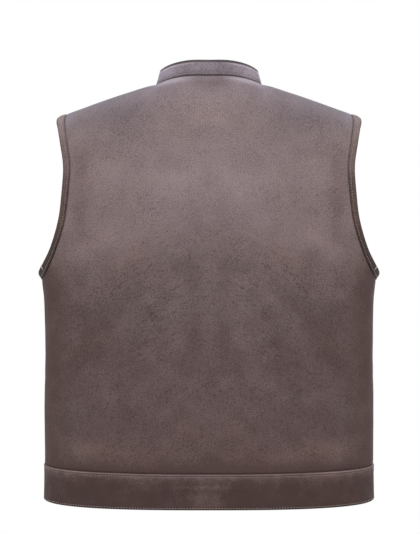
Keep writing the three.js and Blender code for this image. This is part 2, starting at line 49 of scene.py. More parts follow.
# Back panel
# One piece of pebbled cowhide about 1.2 mm thick with its backing, cut to the curve of the back.
# It has no yoke: it runs from the hem band to the collar, and over the shoulders to the fronts.
MM = 0.001
SEAM = 0.3  # space between two pieces that are sewn together
TUCK = 0.6  # how far a piece's inner layer reaches past its seams, so that no light shows there
HIDE = 2.0
HEM_Z, BAND_TOP_Z, UNDERARM_Z = -619, -568, -293
ZIP_EDGE, ZIP_STITCH = 6, 5.5
COLUMNS, TRUNK_ROWS, ARMHOLE_ROWS, ROLL_ROWS = 104, 58, 46, 46
NECK_ROUNDS, YOKE_ROUNDS = 14, 8  # rounds of nearing the points' places


def table(names, *rows):
    """A table with named columns."""
    return dict(zip(names.split(), np.array(rows, float).T))


SECTIONS = table(
    "z half back front square",
    (HEM_Z, 247.5, 131, 131, 2.7),
    (BAND_TOP_Z, 247.5, 128, 133, 2.4),
    (-480, 248, 122, 136, 2.45),
    (-385, 247, 119, 138, 2.45),
    (-320, 249, 123, 141, 2.3),
    (UNDERARM_Z, 252, 126, 142, 2.25),
    (-230, 256, 131, 141, 2.2),
    (-150, 259, 133, 137, 2.2),
    (-60, 260, 131, 132, 2.2),
    (0, 260, 130, 130, 2.2),
)
ARMHOLE = table(
    "z back front",
    (UNDERARM_Z, 252, 252),
    (-276, 239.5, 236.5),
    (-246, 224.5, 216),
    (-206, 211, 197),
    (-165, 205, 189.5),
    (-124, 202.5, 189.5),
    (-81, 209.5, 203),
    (-57, 214, 212),
    (-43, 213.5, 213.5),
)
SHOULDER = table(
    "x y z",
    (0, -22, -2),
    (40, -22, -2),
    (80, -22, -2.5),
    (121, -20, -13.5),
    (157, -17, -24.3),
    (193, -12.5, -36),
    (213.5, -10, -43),
)
TIP_X = SHOULDER["x"][-1]
NECK_HALF, NECK_DEPTH, NECK_Y = 80, 70, -22
NECK_FLATNESS = 2.5
BACK = dict(name="back", side=-1, start=0, roll=(150, 78), square=(3, 2), neck_rise=22)
FRONT = dict(name="front", side=1, start=ZIP_EDGE, roll=(230, 78), square=(1.5, 2), neck_rise=-26)
NECK_SHARE = 8 / 18  # of the way from the centre line to the side
ARMHOLE_PARTS, ROLL_PARTS = 10, 8  # of the way from the underarm to the shoulder
ARMHOLE_CROWDING = 1.8
HEM_DEPTH = 0.52  # of its half width, which spaces the columns
FOLDS_START = 60  # height over the hem from which the broad folds are full
# Broad folds: their centres, half lengths and widths, how far they stand out, and their slants
FOLDS = table(
    "side x z long wide out slant",
    (-1, 92, -190, 90, 46, 2.4, 8),
    (-1, 0, -215, 95, 30, -1.2, 0),
    (-1, 100, -248, 92, 24, 1.6, -58),
    (-1, 116, -312, 98, 22, -2.2, -54),
    (-1, 196, -440, 110, 16, 2.0, 4),
    (-1, 120, -500, 100, 22, -1.6, -12),
    (1, 104, -200, 90, 44, 2.6, -6),
    (1, 140, -322, 90, 20, -2.4, -55),
    (1, 190, -430, 110, 16, 2.0, 5),
    (1, 70, -470, 120, 22, -1.8, 8),
)
# Smaller creases that only the finished leather has
CREASES = table(
    "side x z long wide out slant",
    (-1, 168, -152, 30, 4.5, -0.8, 62),
    (-1, 154, -172, 26, 4.5, -0.7, 74),
    (-1, 176, -186, 24, 4.5, -0.6, 58),
    (-1, 120, -166, 30, 5, -0.4, 70),
    (-1, 60, -222, 60, 6, -0.5, -60),
    (-1, 92, -262, 66, 6, -0.5, -54),
    (-1, 60, -290, 44, 5, -0.6, 58),
    (-1, 128, -300, 60, 6, -0.5, -50),
    (-1, 44, -330, 50, 6, -0.5, -62),
    (-1, 200, -304, 36, 7, -0.7, -62),
    (-1, 204, -330, 30, 6, 0.6, -66),
    (-1, 206, -392, 36, 8, -0.7, -70),
    (-1, 100, -395, 70, 11, 0.7, -60),
    (-1, 196, -420, 50, 6, -0.9, -68),
    (-1, 176, -452, 46, 6, -0.8, -62),
    (-1, 40, -448, 60, 12, -0.6, -84),
    (-1, 150, -536, 46, 8, 0.8, -70),
    (-1, 76, -552, 30, 7, -0.7, 8),
    (1, 165, -160, 28, 5, -0.9, 66),
    (1, 150, -180, 28, 5, -0.7, 74),
    (1, 96, -262, 60, 6, -0.7, -54),
    (1, 198, -302, 38, 7, -0.9, -60),
    (1, 202, -352, 36, 7, 0.6, -68),
    (1, 96, -392, 60, 10, -0.9, -60),
    (1, 44, -300, 60, 8, 0.7, -20),
    (1, 190, -440, 46, 6, -0.8, -64),
    (1, 40, -540, 40, 8, -0.9, 35),
    (1, 150, -536, 46, 9, 0.8, -78),
)


def mix(a, b, share):
    return a + (b - a) * share


def smooth(value):
    value = np.clip(value, 0, 1)
    return value * value * (3 - 2 * value)


def read(rows, column, at, key="z"):
    """One column of a table, along a smooth curve through its rows."""
    keys, values = rows[key], rows[column]
    last = len(keys) - 1
    i = np.clip(np.searchsorted(keys, at, side="left") - 1, 0, last - 1)

    def slope(k):
        low, high = np.maximum(k - 1, 0), np.minimum(k + 1, last)
        return (values[high] - values[low]) / (keys[high] - keys[low])

    step, rise = keys[i + 1] - keys[i], values[i + 1] - values[i]
    t = np.clip((at - keys[i]) / step, 0, 1)
    bend = (1 - t) * (step * slope(i) - rise) - t * (step * slope(i + 1) - rise)
    return values[i] + rise * t + t * (1 - t) * bend


def hem_share(u):
    """The share of the half width at a share of the way round a quarter of the hem."""
    angle = np.linspace(0, np.pi / 2, 401)
    power = 2 / SECTIONS["square"][0]
    across, deep = np.sin(angle) ** power, HEM_DEPTH * np.cos(angle).clip(0) ** power
    lengths = np.append(0, np.cumsum(np.hypot(np.diff(across), np.diff(deep))))
    return np.interp(u, lengths / lengths[-1], across)


def patches(rows, column, side, x, z):
    """The sum of a table's soft oval patches on one face, alike on both sides of the middle."""
    total = np.zeros(np.broadcast(x, z).shape)
    for k in np.flatnonzero(rows["side"] == side):
        turn = math.radians(rows["slant"][k])
        dx, dz = np.abs(x) - rows["x"][k], z - rows["z"][k]
        along = (dx * math.sin(turn) + dz * math.cos(turn)) / rows["long"][k]
        across = (dx * math.cos(turn) - dz * math.sin(turn)) / rows["wide"][k]
        total = total + rows[column][k] * np.exp(-along * along - across * across)
    return total


def face_y(face, x, z):
    """The y of a face at a width and height, before the top rolls over."""
    share = np.minimum(x / read(SECTIONS, "half", z), 1)
    square = read(SECTIONS, "square", z)
    depth = read(SECTIONS, face["name"], z) * (1 - share**square).clip(0) ** (1 / square)
    fold = patches(FOLDS, "out", face["side"], x, z) * (1 - share**4) * smooth((z - HEM_Z) / FOLDS_START)
    return face["side"] * (depth + fold + SEAM / 2)


def roll_point(face, x, turn):
    """The y and z where a panel turns over towards the shoulder. turn runs up to a right angle."""
    share = smooth((x - NECK_HALF / 2) / (TIP_X - NECK_HALF / 2))
    climb = (1 - (x / NECK_HALF) ** NECK_FLATNESS).clip(0) ** 1.5
    top_y = read(SHOULDER, "y", x, "x")
    top_z = read(SHOULDER, "z", x, "x") + face["neck_rise"] * climb
    depth = mix(*face["roll"], share)
    power = 2 / mix(*face["square"], share)
    z = top_z - depth * (1 - np.sin(turn) ** power)
    y = mix(top_y, face_y(face, x, z), np.cos(turn).clip(0) ** power)
    return y, z, top_y, top_z - depth, power


def neck_turn(face, angle):
    """How far the roll has turned where it meets the neck seam."""
    x = NECK_HALF * np.sin(angle)
    y = NECK_Y - NECK_DEPTH * np.cos(angle)
    turn = np.full(np.shape(angle), np.pi / 4)
    for _ in range(NECK_ROUNDS):
        _, z, top_y, _, power = roll_point(face, x, turn)
        reach = (y - top_y) / (face_y(face, x, z) - top_y)
        turn = np.arccos(np.clip(reach, 0, 1) ** (1 / power))
    return turn


def neck_angle(face, u):
    first = math.asin(face["start"] / NECK_HALF)
    from_centre = mix(first, np.pi / 2, np.minimum(u / NECK_SHARE, 1))
    return from_centre if face["side"] < 0 else np.pi - from_centre


def half_panel(face, u, level):
    """Points of half a panel. u runs from the centre line to the side. level runs up to 1 at the
    underarm, to 2 where the roll starts, and to 3 at the neck and shoulder seams."""
    u, level = np.meshgrid(u, level)
    angle = neck_angle(face, u)
    beyond = np.maximum(u - NECK_SHARE, 0) / (1 - NECK_SHARE)
    top_x = np.where(beyond > 0, mix(NECK_HALF, TIP_X, beyond), NECK_HALF * np.sin(angle))
    top_share = (top_x - face["start"]) / (TIP_X - face["start"])
    by_neck = u < NECK_SHARE - 1e-9
    end = np.where(by_neck, neck_turn(face, angle), np.pi / 2)
    turn = end * np.clip(level - 2, 0, 1)
    climb = np.clip(level - 1, 0, 1) ** ARMHOLE_CROWDING
    rise = np.clip(level - 1, 0, 1) * ARMHOLE_PARTS + np.clip(level - 2, 0, 1) * ROLL_PARTS
    rise = rise / (ARMHOLE_PARTS + ROLL_PARTS)
    share = mix(hem_share(u), top_share, smooth(rise))
    x = mix(face["start"], read(SECTIONS, "half", mix(BAND_TOP_Z, UNDERARM_Z, level)), hem_share(u))
    z = mix(BAND_TOP_Z, UNDERARM_Z, np.minimum(level, 1))
    yoke = level > 1
    for _ in range(YOKE_ROUNDS):
        _, rolled_z, _, start_z, _ = roll_point(face, x, turn)
        yoke_z = np.where(level < 2, mix(UNDERARM_Z, start_z, climb), rolled_z)
        z = np.where(yoke, yoke_z, z)
        edge = read(ARMHOLE, face["name"], z)
        x = np.where(yoke, mix(face["start"], edge, share), x)
    y = np.where(level > 2, roll_point(face, x, turn)[0], face_y(face, x, z))
    at_top = level == level.max()
    y = np.where(at_top & by_neck, NECK_Y - NECK_DEPTH * np.cos(angle), y)
    y = np.where(at_top & ~by_neck, y + face["side"] * SEAM / 2, y)
    return np.stack([x, y, z], -1)


def normals_of(points):
    """Outward normals of a grid whose rows go up and whose columns go counterclockwise."""
    low, high = points[:-1], points[1:]
    faces = np.cross(high[:, 1:] - low[:, :-1], high[:, :-1] - low[:, 1:])
    total = np.zeros_like(points)
    total[:-1, :-1] += faces
    total[:-1, 1:] += faces
    total[1:, :-1] += faces
    total[1:, 1:] += faces
    return unit(total)


def unit(vectors):
    return vectors / np.linalg.norm(vectors, axis=-1, keepdims=True).clip(1e-12)


def run_length(points, axis):
    """How far each point lies along its row or column, in millimetres."""
    steps = np.linalg.norm(np.diff(points, axis=axis), axis=-1)
    return np.concatenate([np.zeros_like(np.take(steps, [0], axis)), np.cumsum(steps, axis)], axis)


def nearer_end(lengths):
    """How far each point lies from the nearer end of its row."""
    return np.minimum(lengths, lengths[:, -1:] - lengths)


def lumps(points, size, seed):
    """Smooth random lumps from -1 to 1, about size millimetres apart. Each seed has its own."""
    cell = points / size + 100 * seed + 500
    corner = np.floor(cell).astype(np.int64)
    part = cell - corner
    part = part * part * (3 - 2 * part)
    total = 0
    for k in range(8):
        step = np.array([k & 1, k >> 1 & 1, k >> 2 & 1])
        a, b, c = np.moveaxis(corner + step, -1, 0)
        mixed = (a * 73856093 ^ b * 19349663 ^ c * 83492791 ^ seed * 2654435) & 0x7FFFFFFF
        mixed = (mixed * 1103515245 + 12345 ^ mixed >> 13) & 0x7FFFFFFF
        weight = np.prod(np.where(step == 1, part, 1 - part), axis=-1)
        total = total + weight * (mixed % 20011 / 10005 - 1)
    return total


def crowded(count, start, end):
    """Shares from 0 to 1 that lie closer together at the start or the end, by an amount up to 1."""
    t = np.linspace(0, 1, count)
    return t - start * t * (1 - t) ** 2 + end * t * t * (1 - t)


def columns_of(face):
    """Where a panel's columns lie, as shares of the way to its side: closer at its seams."""
    return crowded(COLUMNS, 0 if face["side"] < 0 else 0.75, 0.75)


def allowance(points, foot, top, ends):
    """The grid with its borders moved outwards by these amounts, past the seams on its inside."""
    wider = points.copy()
    wider[0] += foot * unit(points[0] - points[1])
    wider[-1] += top * unit(points[-1] - points[-2])
    wider[:, 0] += ends * unit(points[:, 0] - points[:, 1])
    wider[:, -1] += ends * unit(points[:, -1] - points[:, -2])
    return wider


def new_piece(name, vertices, faces, tones):
    """A smooth piece from points in millimetres, with the tones of its leather at each point."""
    mesh = bpy.data.meshes.new(name)
    mesh.from_pydata(vertices.reshape(-1, 3) * MM, [], faces)
    mesh.polygons.foreach_set("use_smooth", np.ones(len(faces), bool))
    for key, values in tones.items():
        layer = mesh.attributes.new(key, "FLOAT", "POINT")
        layer.data.foreach_set("value", values.reshape(-1).astype(np.float32))
    piece = bpy.data.objects.new(name, mesh)
    bpy.context.collection.objects.link(piece)
    return piece


def sheet_wall(name, points, normals, outer, inner, tones, tucked=(0, 0, 0)):
    """A closed skin over a grid, from outer to inner millimetres along the normals."""
    inside_points = allowance(points, *tucked) + normals * inner[..., None]
    vertices = np.concatenate([points + normals * outer[..., None], inside_points])
    index = np.arange(points[..., 0].size).reshape(points.shape[:2])
    behind = index + index.size

    def strip(a, b):
        return np.stack([a[:-1], a[1:], b[1:], b[:-1]], -1).reshape(-1, 4)

    face = np.stack([index[:-1, :-1], index[:-1, 1:], index[1:, 1:], index[1:, :-1]], -1).reshape(-1, 4)
    rim = [
        strip(behind[0], index[0]),
        strip(index[-1], behind[-1]),
        strip(index[:, 0], behind[:, 0]),
        strip(behind[:, -1], index[:, -1]),
    ]
    quads = np.concatenate([face, face[:, ::-1] + index.size, *rim])
    doubled = {key: np.tile(values, (2, 1)) for key, values in tones.items()}
    piece = new_piece(name, vertices, quads, doubled)
    inside = np.zeros(len(quads), np.int32)
    inside[len(face) : 2 * len(face)] = 1
    piece.data.polygons.foreach_set("material_index", inside)
    return piece


# Lightest across the shoulder blades and darker towards the hem: partly the two-tone finish, partly painted
# light from above and painted shade low down.
DYE_AND_TOP_LIGHT = table(
    "z light",
    (HEM_Z, 0.04),
    (-560, 0.04),
    (-530, 0.11),
    (-463, 0.16),
    (-400, 0.18),
    (-335, 0.24),
    (-300, 0.29),
    (-272, 0.34),
    (-240, 0.49),
    (-208, 0.58),
    (-145, 0.71),
    (-112, 0.64),
    (-60, 0.6),
    (10, 0.64),
)
# Lighter and darker clouds in it, alike on both sides of the middle: their centres, sizes and
# slants, and how much each one lightens, cools or warms the brown. Some are the hide's own blotches; the
# rest are painted shade and painted highlights, along the slanting folds, round the armholes, at the sides
# under the arms and below the collar.
CLOUDS_AND_SHADING = table(
    "side x z long wide slant light cool warm",
    (-1, 0, -6, 8, 34, 0, -0.16, 0, 0.3),
    (-1, 0, -50, 44, 34, 0, 0.12, 0, 0.2),
    (-1, 0, -18, 12, 22, 0, -0.1, 0, 0),
    (-1, 132, -58, 44, 34, 70, -0.12, 0.4, 0),
    (-1, 210, -54, 14, 12, 0, 0.2, 0.2, 0),
    (-1, 192, -92, 12, 16, 30, 0.05, 0, 0),
    (-1, 158, -96, 24, 24, 0, -0.02, 0, 0),
    (-1, 152, -134, 26, 24, 0, 0.06, 0, 0),
    (-1, 187, -156, 52, 16, 4, -0.19, 0, 0.2),
    (-1, 14, -128, 26, 44, 0, 0.07, 0, 0),
    (-1, 44, -158, 26, 40, 0, 0.07, 0, 0),
    (-1, 98, -184, 34, 16, 14, -0.09, 0, 0),
    (-1, 0, -222, 24, 24, 0, -0.1, 0, 0),
    (-1, 110, -214, 80, 18, -58, 0.06, 0, 0),
    (-1, 174, -244, 44, 18, -52, 0.12, 0, 0.3),
    (-1, 64, -236, 24, 24, 0, 0.1, 0, 0),
    (-1, 60, -276, 90, 15, -54, -0.04, 0, 0),
    (-1, 110, -262, 60, 20, -50, 0, 0, 0.35),
    (-1, 232, -296, 52, 26, 0, -0.16, 0, 0.4),
    (-1, 168, -376, 42, 42, -14, -0.15, 0, 0.1),
    (-1, 232, -390, 90, 26, 0, -0.1, 0, 0.2),
    (-1, 60, -336, 44, 44, 0, 0.03, 0, 0),
    (-1, 12, -376, 26, 20, -40, -0.05, 0, 0),
    (-1, 188, -392, 60, 12, -66, 0.04, 0, 0.4),
    (-1, 186, -440, 60, 14, -60, -0.05, 0, 0.2),
    (-1, 160, -540, 50, 16, 86, 0.18, 0, 0.7),
    (-1, 40, -500, 40, 24, 70, 0, 0, 0.35),
    (-1, 0, -556, 16, 60, 0, -0.09, 0, 0),
    (-1, 0, -600, 20, 28, 0, 0.18, 0.2, 0),
    (1, 190, -346, 50, 46, -14, -0.18, 0, 0.1),
    (1, 230, -292, 52, 26, 0, -0.18, 0, 0.4),
    (1, 190, -160, 58, 20, 4, -0.16, 0, 0.2),
    (1, 120, -66, 40, 46, 60, -0.12, 0.4, 0),
    (1, 96, -226, 80, 18, -56, 0.06, 0, 0),
    (1, 64, -296, 90, 16, -54, -0.05, 0, 0.2),
    (1, 228, -400, 90, 26, 0, -0.09, 0, 0.2),
    (1, 196, -430, 30, 30, 60, 0.04, 0, 0.5),
    (1, 120, -524, 60, 18, 84, 0.07, 0, 0.5),
)


def clipped(tones):
    return {key: values.clip(0) for key, values in tones.items()}


def dye_and_shading(side, points, normals):
    """The tones of the leather at each point: how light, cool and warm it is, none below 0, painted light
    and shade among them.
    """
    x, z = points[..., 0], points[..., 2]
    mirrored = np.stack([np.abs(x), points[..., 1], z], -1)
    blotch = lumps(mirrored, 21, 4)
    drift = 0.035 * lumps(mirrored, 46, 3) + 0.075 * blotch + 0.035 * lumps(points, 9, 5)
    light = np.interp(z, DYE_AND_TOP_LIGHT["z"], DYE_AND_TOP_LIGHT["light"]) + patches(CLOUDS_AND_SHADING, "light", side, x, z) + drift
    # Cooler where the surface faces up: a painted cool sheen from the light above; the clouds add more
    cool = smooth((normals[..., 2] - 0.15) / 0.7) * 0.8 + patches(CLOUDS_AND_SHADING, "cool", side, x, z)
    warm = patches(CLOUDS_AND_SHADING, "warm", side, x, z) + 0.2 * lumps(mirrored, 70, 6) + 0.12 * blotch
    return clipped({"light": light, "cool": cool, "warm": warm})


def full_width(face, half, mirror):
    """Both halves of the back, or one front, with columns that run counterclockwise from above."""
    flip = half[:, ::-1] * [-1, 1, 1]
    if face["side"] < 0:
        return np.concatenate([flip, half[:, 1:]], 1)
    return flip[:, ::-1] if mirror else half[:, ::-1]


def side_columns(face, mirror):
    """The columns that lie on a side seam."""
    if face["side"] < 0:
        return [0, -1]
    return [-1] if mirror else [0]


def ramp(distance, middle, width):
    """A bump across a seam: 1 at its middle."""
    return np.exp(-(((distance - middle) / width) ** 2))


def mid_back(points):
    """Where the hide has bent most: across the middle, below the arms."""
    return 0.7 * ramp(points[..., 2], -316, 74) * ramp(np.abs(points[..., 0]), 70, 90)


# How far down the painted shade at the sides begins and the sides warm, and where the whole panel warms
SIDES_SHADED, SIDES_WARM, FOOT_WARM = 264, 296, 500


def panel_tones(face, points, normals, pucker, from_edge, from_foot, from_top):
    tones = dye_and_shading(face["side"], points, normals)
    x, low_down = np.abs(points[..., 0]), -points[..., 2]
    # Painted shade above the hem band's seam, lighter and darker with the puckers there
    tones["light"] -= 0.2 * ramp(from_foot, 0, 9) + 0.06 * pucker * ramp(from_foot, 7, 5)
    # Painted shade towards the side seams, where the sides turn from the light; warmer there, and warmer
    # low down
    side_shade = 0.3 * ramp(from_edge, 0, 16) + 0.1 * ramp(from_edge, 0, 6) + 0.1 * smooth((x - 212) / 24)
    tones["light"] -= side_shade * smooth((low_down - SIDES_SHADED) / 30)
    warm_side = 0.8 * ramp(from_edge, 0, 60) + 0.4 * smooth((x - 200) / 30)
    tones["warm"] += warm_side * smooth((low_down - SIDES_WARM) / 60)
    tones["warm"] += 0.25 * smooth((low_down - FOOT_WARM) / 30)
    # Painted highlight, pale and cool, where the shoulders turn over towards the light above
    below_top, outward = points[-1, :, 2] - points[..., 2], smooth((x - 66) / 16)
    tones["light"] += outward * (0.2 * ramp(below_top, 0, 20) + 0.25 * ramp(below_top, 0, 3.5))
    tones["cool"] += outward * 0.6 * ramp(below_top, 0, 14)
    # Painted highlight on the back, below both sides of the collar
    if face["side"] < 0:
        collar_highlight = ramp(below_top, 4.5, 5) * smooth((x - 12) / 44) * (1 - smooth((x - 64) / 26))
        tones["light"] += 0.95 * collar_highlight
        tones["cool"] += 0.35 * collar_highlight
    tones["seam"] = 0.5 * np.exp(-from_foot / 0.9) + 0.85 * np.exp(-from_top / 1.5)
    tones["seam"] += 0.4 * np.exp(-from_edge / 1.1)
    return tones


PUCKER_OUT = 0.16
EDGE_WIDTH, CALM_EDGE = 1.5, 14  # how far in its edges are rounded, and creases are lower


def panel(name, face, mirror=False):
    """A body panel: its skin, the grid of its outer face, and how far the skin lies off that grid."""
    trunk = crowded(TRUNK_ROWS, 0.8, 0)
    armhole = 1 + np.linspace(0, 1, ARMHOLE_ROWS)[1:]
    roll = 2 + crowded(ROLL_ROWS, 0, 0.7)[1:]
    half = half_panel(face, columns_of(face), np.concatenate([trunk, armhole, roll]))
    points = full_width(face, half, mirror)
    normals = normals_of(points)
    normals[-1] = unit(2 * normals[-2] - normals[-3])
    normals[-1, np.abs(points[-1, :, 0]) >= NECK_HALF, 1] = 0
    normals[:TRUNK_ROWS, side_columns(face, mirror), 1] = 0
    normals = unit(normals)

    across, upward = run_length(points, 1), run_length(points, 0)
    from_edge = nearer_end(across)
    from_foot, from_top = upward, upward[-1] - upward
    edge = np.minimum(np.minimum(from_edge, from_foot), from_top)
    pucker = np.sin(across / 1.55 + 2 * lumps(points, 30, 8)) * np.exp(-from_foot / 7)
    pucker += np.sin(across / 1.5 + 2 * lumps(points, 30, 9)) * np.exp(-from_top / 6)
    pucker += np.sin(upward / 1.7 + 2 * lumps(points, 30, 10)) * np.exp(-from_edge / 6)
    fade = smooth(edge / CALM_EDGE)
    bumps = patches(CREASES, "out", face["side"], points[..., 0], points[..., 2])
    tones = panel_tones(face, points, normals, pucker, from_edge, from_foot, from_top)
    tones["worn"] = (smooth(np.abs(bumps) / 0.5) + mid_back(points)).clip(0, 1)
    bumps += 0.5 * lumps(points, 64, 1) + 0.22 * lumps(points, 27, 2)
    outer = bumps * fade + PUCKER_OUT * pucker - ramp(edge, 0, EDGE_WIDTH)
    inner = 0.4 * bumps * fade - HIDE + 0.3 * ramp(edge, 0, EDGE_WIDTH)
    if face["side"] > 0:
        from_zip = across if mirror else across[:, -1:] - across
        outer += 0.5 * ramp(from_zip, 2.6, 1.8) - 0.6 * ramp(from_zip, ZIP_STITCH, 0.9)
    piece = sheet_wall(name, points, normals, outer, inner, tones, (TUCK, TUCK, TUCK))
    return piece, points, normals, outer


back_piece, back_points, back_normals, _ = panel("back_leather", BACK)


def srgb(red, green, blue):
    """A colour as it is seen, from 0 to 255, as Blender's linear colour."""
    shares = [c / 255 for c in (red, green, blue)]
    return [c / 12.92 if c <= 0.04045 else ((c + 0.055) / 1.055) ** 2.4 for c in shares] + [1]


def connect(made, values):
    """Gives a node's inputs their values, or links them to other nodes."""
    for key, value in values.items():
        if isinstance(value, bpy.types.NodeSocket):
            made.id_data.links.new(value, made.inputs[key])
        else:
            made.inputs[key].default_value = value
    return made


def node(tree, kind, values=None, **settings):
    """A shader node with its settings and with values or links at its inputs."""
    made = tree.nodes.new(kind)
    for key, value in settings.items():
        setattr(made, key, value)
    return connect(made, values or {})


def effect(name, inputs, outputs):
    """An empty shader node group with named inputs and outputs."""
    tree = bpy.data.node_groups.new(name, "ShaderNodeTree")
    for way, sockets in (("INPUT", inputs), ("OUTPUT", outputs)):
        for key, kind in sockets.items():
            tree.interface.new_socket(key, in_out=way, socket_type="NodeSocket" + kind)
    return tree, tree.nodes.new("NodeGroupInput").outputs, tree.nodes.new("NodeGroupOutput")


def calc(tree, operation, a, b=0.0):
    return node(tree, "ShaderNodeMath", {0: a, 1: b}, operation=operation).outputs[0]


def span(tree, value, low, high, to_low=0.0, to_high=1.0):
    """A value's place between two limits, eased at both ends."""
    limits = {"Value": value, "From Min": low, "From Max": high, "To Min": to_low, "To Max": to_high}
    return node(tree, "ShaderNodeMapRange", limits, interpolation_type="SMOOTHSTEP").outputs["Result"]


def blend(tree, factor, a, b, how="MIX"):
    """Two colours mixed."""
    return node(tree, "ShaderNodeMix", {0: factor, 6: a, 7: b}, data_type="RGBA", blend_type=how).outputs[2]


def noise(tree, position, scale, detail, roughness=0.5):
    """Soft random noise, with its scale in lumps to a metre."""
    values = {"Vector": position, "Scale": scale, "Detail": detail, "Roughness": roughness}
    return node(tree, "ShaderNodeTexNoise", values).outputs


# Pebbled grain: raised pebbles of two sizes with sunk lines between them, level on the whole
MIDDLE_LIFT = 0.53
PEBBLES = table("size slope share", (1, 0.22, 0.35), (0.43, 0.2, 0.65))
grain, given, gives = effect(
    "pebble_grain", {"Position": "Vector", "Pebble": "Float"}, {"Height": "Float", "Valley": "Float"}
)
warp = noise(grain, given["Position"], 260.0, 1.0)["Color"]
nudge = node(grain, "ShaderNodeVectorMath", {0: warp, "Scale": 0.0012}, operation="SCALE").outputs[0]
place = node(grain, "ShaderNodeVectorMath", {0: given["Position"], 1: nudge}).outputs[0]
lift = 0.0
for size, slope, share in zip(*PEBBLES.values()):
    values = {"Vector": place, "Scale": calc(grain, "MULTIPLY", given["Pebble"], size)}
    cells = node(grain, "ShaderNodeTexVoronoi", values, feature="DISTANCE_TO_EDGE")
    height = span(grain, cells.outputs["Distance"], 0.0, slope)
    lift = calc(grain, "ADD", calc(grain, "MULTIPLY", height, share), lift)
fullness = span(grain, noise(grain, given["Position"], 21.0, 2.0)["Fac"], 0.36, 0.62, 0.85, 1.15)
sunk = calc(grain, "MULTIPLY", calc(grain, "SUBTRACT", MIDDLE_LIFT, lift), fullness)
connect(gives, {"Height": calc(grain, "SUBTRACT", 1.0, sunk), "Valley": sunk})

# Fine wrinkles where the hide has bent often, running down and outwards from the middle
WRINKLE_STRETCH = (0.18, 0.6, 1.0)
creasing, given, gives = effect(
    "wrinkles", {"Position": "Vector", "Worn": "Float"}, {"Height": "Float", "Line": "Float"}
)
turned = node(creasing, "ShaderNodeVectorMath", {0: given["Position"]}, operation="ABSOLUTE").outputs[0]
turned = node(creasing, "ShaderNodeVectorRotate", {"Vector": turned, "Angle": 0.5}, rotation_type="Y_AXIS")
values = {0: turned.outputs[0], 1: WRINKLE_STRETCH}
drawn = node(creasing, "ShaderNodeVectorMath", values, operation="MULTIPLY").outputs[0]
from_line = calc(creasing, "SUBTRACT", noise(creasing, drawn, 130.0, 2.0)["Fac"], 0.5)
thin = span(creasing, calc(creasing, "ABSOLUTE", from_line), 0.0, 0.025, 1.0, 0.0)
wrinkle = calc(creasing, "MULTIPLY", thin, given["Worn"])
connect(gives, {"Line": wrinkle, "Height": calc(creasing, "SUBTRACT", 0.0, wrinkle)})

# Rubbed dye, with painted light and shade: light on the pebbles and dark in the valleys, darker at seams
# and where shade is painted, with cool and warm clouds. The brown is at its deepest where Light is 0 and at
# its palest where Light is PALEST; Light holds painted highlights and shade as well as the dye's own tone.
PALEST = 1.6
COOL_TINT, WARM_TINT = (0.867, 1.0, 1.2, 1), (1.08, 0.98, 0.84, 1)
rubbing_and_shading, given, gives = effect(
    "rubbed_dye_and_shading",
    {
        "Position": "Vector", "Light": "Float", "Cool": "Float", "Warm": "Float", "Seam": "Float",
        "Valley": "Float", "Line": "Float", "Pale": "Color", "Deep": "Color",
    },
    {"Color": "Color", "Roughness": "Float"},
)
mottle = noise(rubbing_and_shading, given["Position"], 190.0, 4.0, 0.85)["Fac"]
speck = span(rubbing_and_shading, mottle, 0.3, 0.7, -0.055, 0.055)
cloud = span(rubbing_and_shading, noise(rubbing_and_shading, given["Position"], 26.0, 2.0)["Fac"], 0.3, 0.7, -0.015, 0.015)
valley = calc(rubbing_and_shading, "MULTIPLY", given["Valley"], span(rubbing_and_shading, given["Light"], 0.0, 0.6, 0.32, 0.54))
tone = calc(rubbing_and_shading, "ADD", calc(rubbing_and_shading, "ADD", given["Light"], speck), cloud)
tone = calc(rubbing_and_shading, "SUBTRACT", tone, valley)
# Darker along the wrinkle lines: painted shade in the creases
tone = calc(rubbing_and_shading, "SUBTRACT", tone, calc(rubbing_and_shading, "MULTIPLY", given["Line"], 0.2))
tint = blend(rubbing_and_shading, calc(rubbing_and_shading, "MULTIPLY", tone, 1 / PALEST), given["Deep"], given["Pale"])
tint = blend(rubbing_and_shading, calc(rubbing_and_shading, "MULTIPLY", given["Cool"], 0.6), tint, COOL_TINT, "MULTIPLY")
tint = blend(rubbing_and_shading, given["Warm"], tint, WARM_TINT, "MULTIPLY")
tint = blend(rubbing_and_shading, calc(rubbing_and_shading, "MULTIPLY", given["Seam"], 0.75), tint, srgb(34, 24, 23))
connect(gives, {"Color": tint, "Roughness": span(rubbing_and_shading, mottle, 0.3, 0.7, 0.5, 0.66)})


def apply_effect(tree, group, values):
    return node(tree, "ShaderNodeGroup", values, node_tree=group).outputs


def bump(tree, height, strength, distance):
    values = {"Height": height, "Strength": strength, "Distance": distance}
    return node(tree, "ShaderNodeBump", values).outputs[0]


def new_material(name):
    """A material with its nodes, its shader, and the position on the piece."""
    material = bpy.data.materials.new(name)
    material.use_nodes = True
    tree = material.node_tree
    position = node(tree, "ShaderNodeTexCoord").outputs["Object"]
    return material, tree, tree.nodes["Principled BSDF"], position


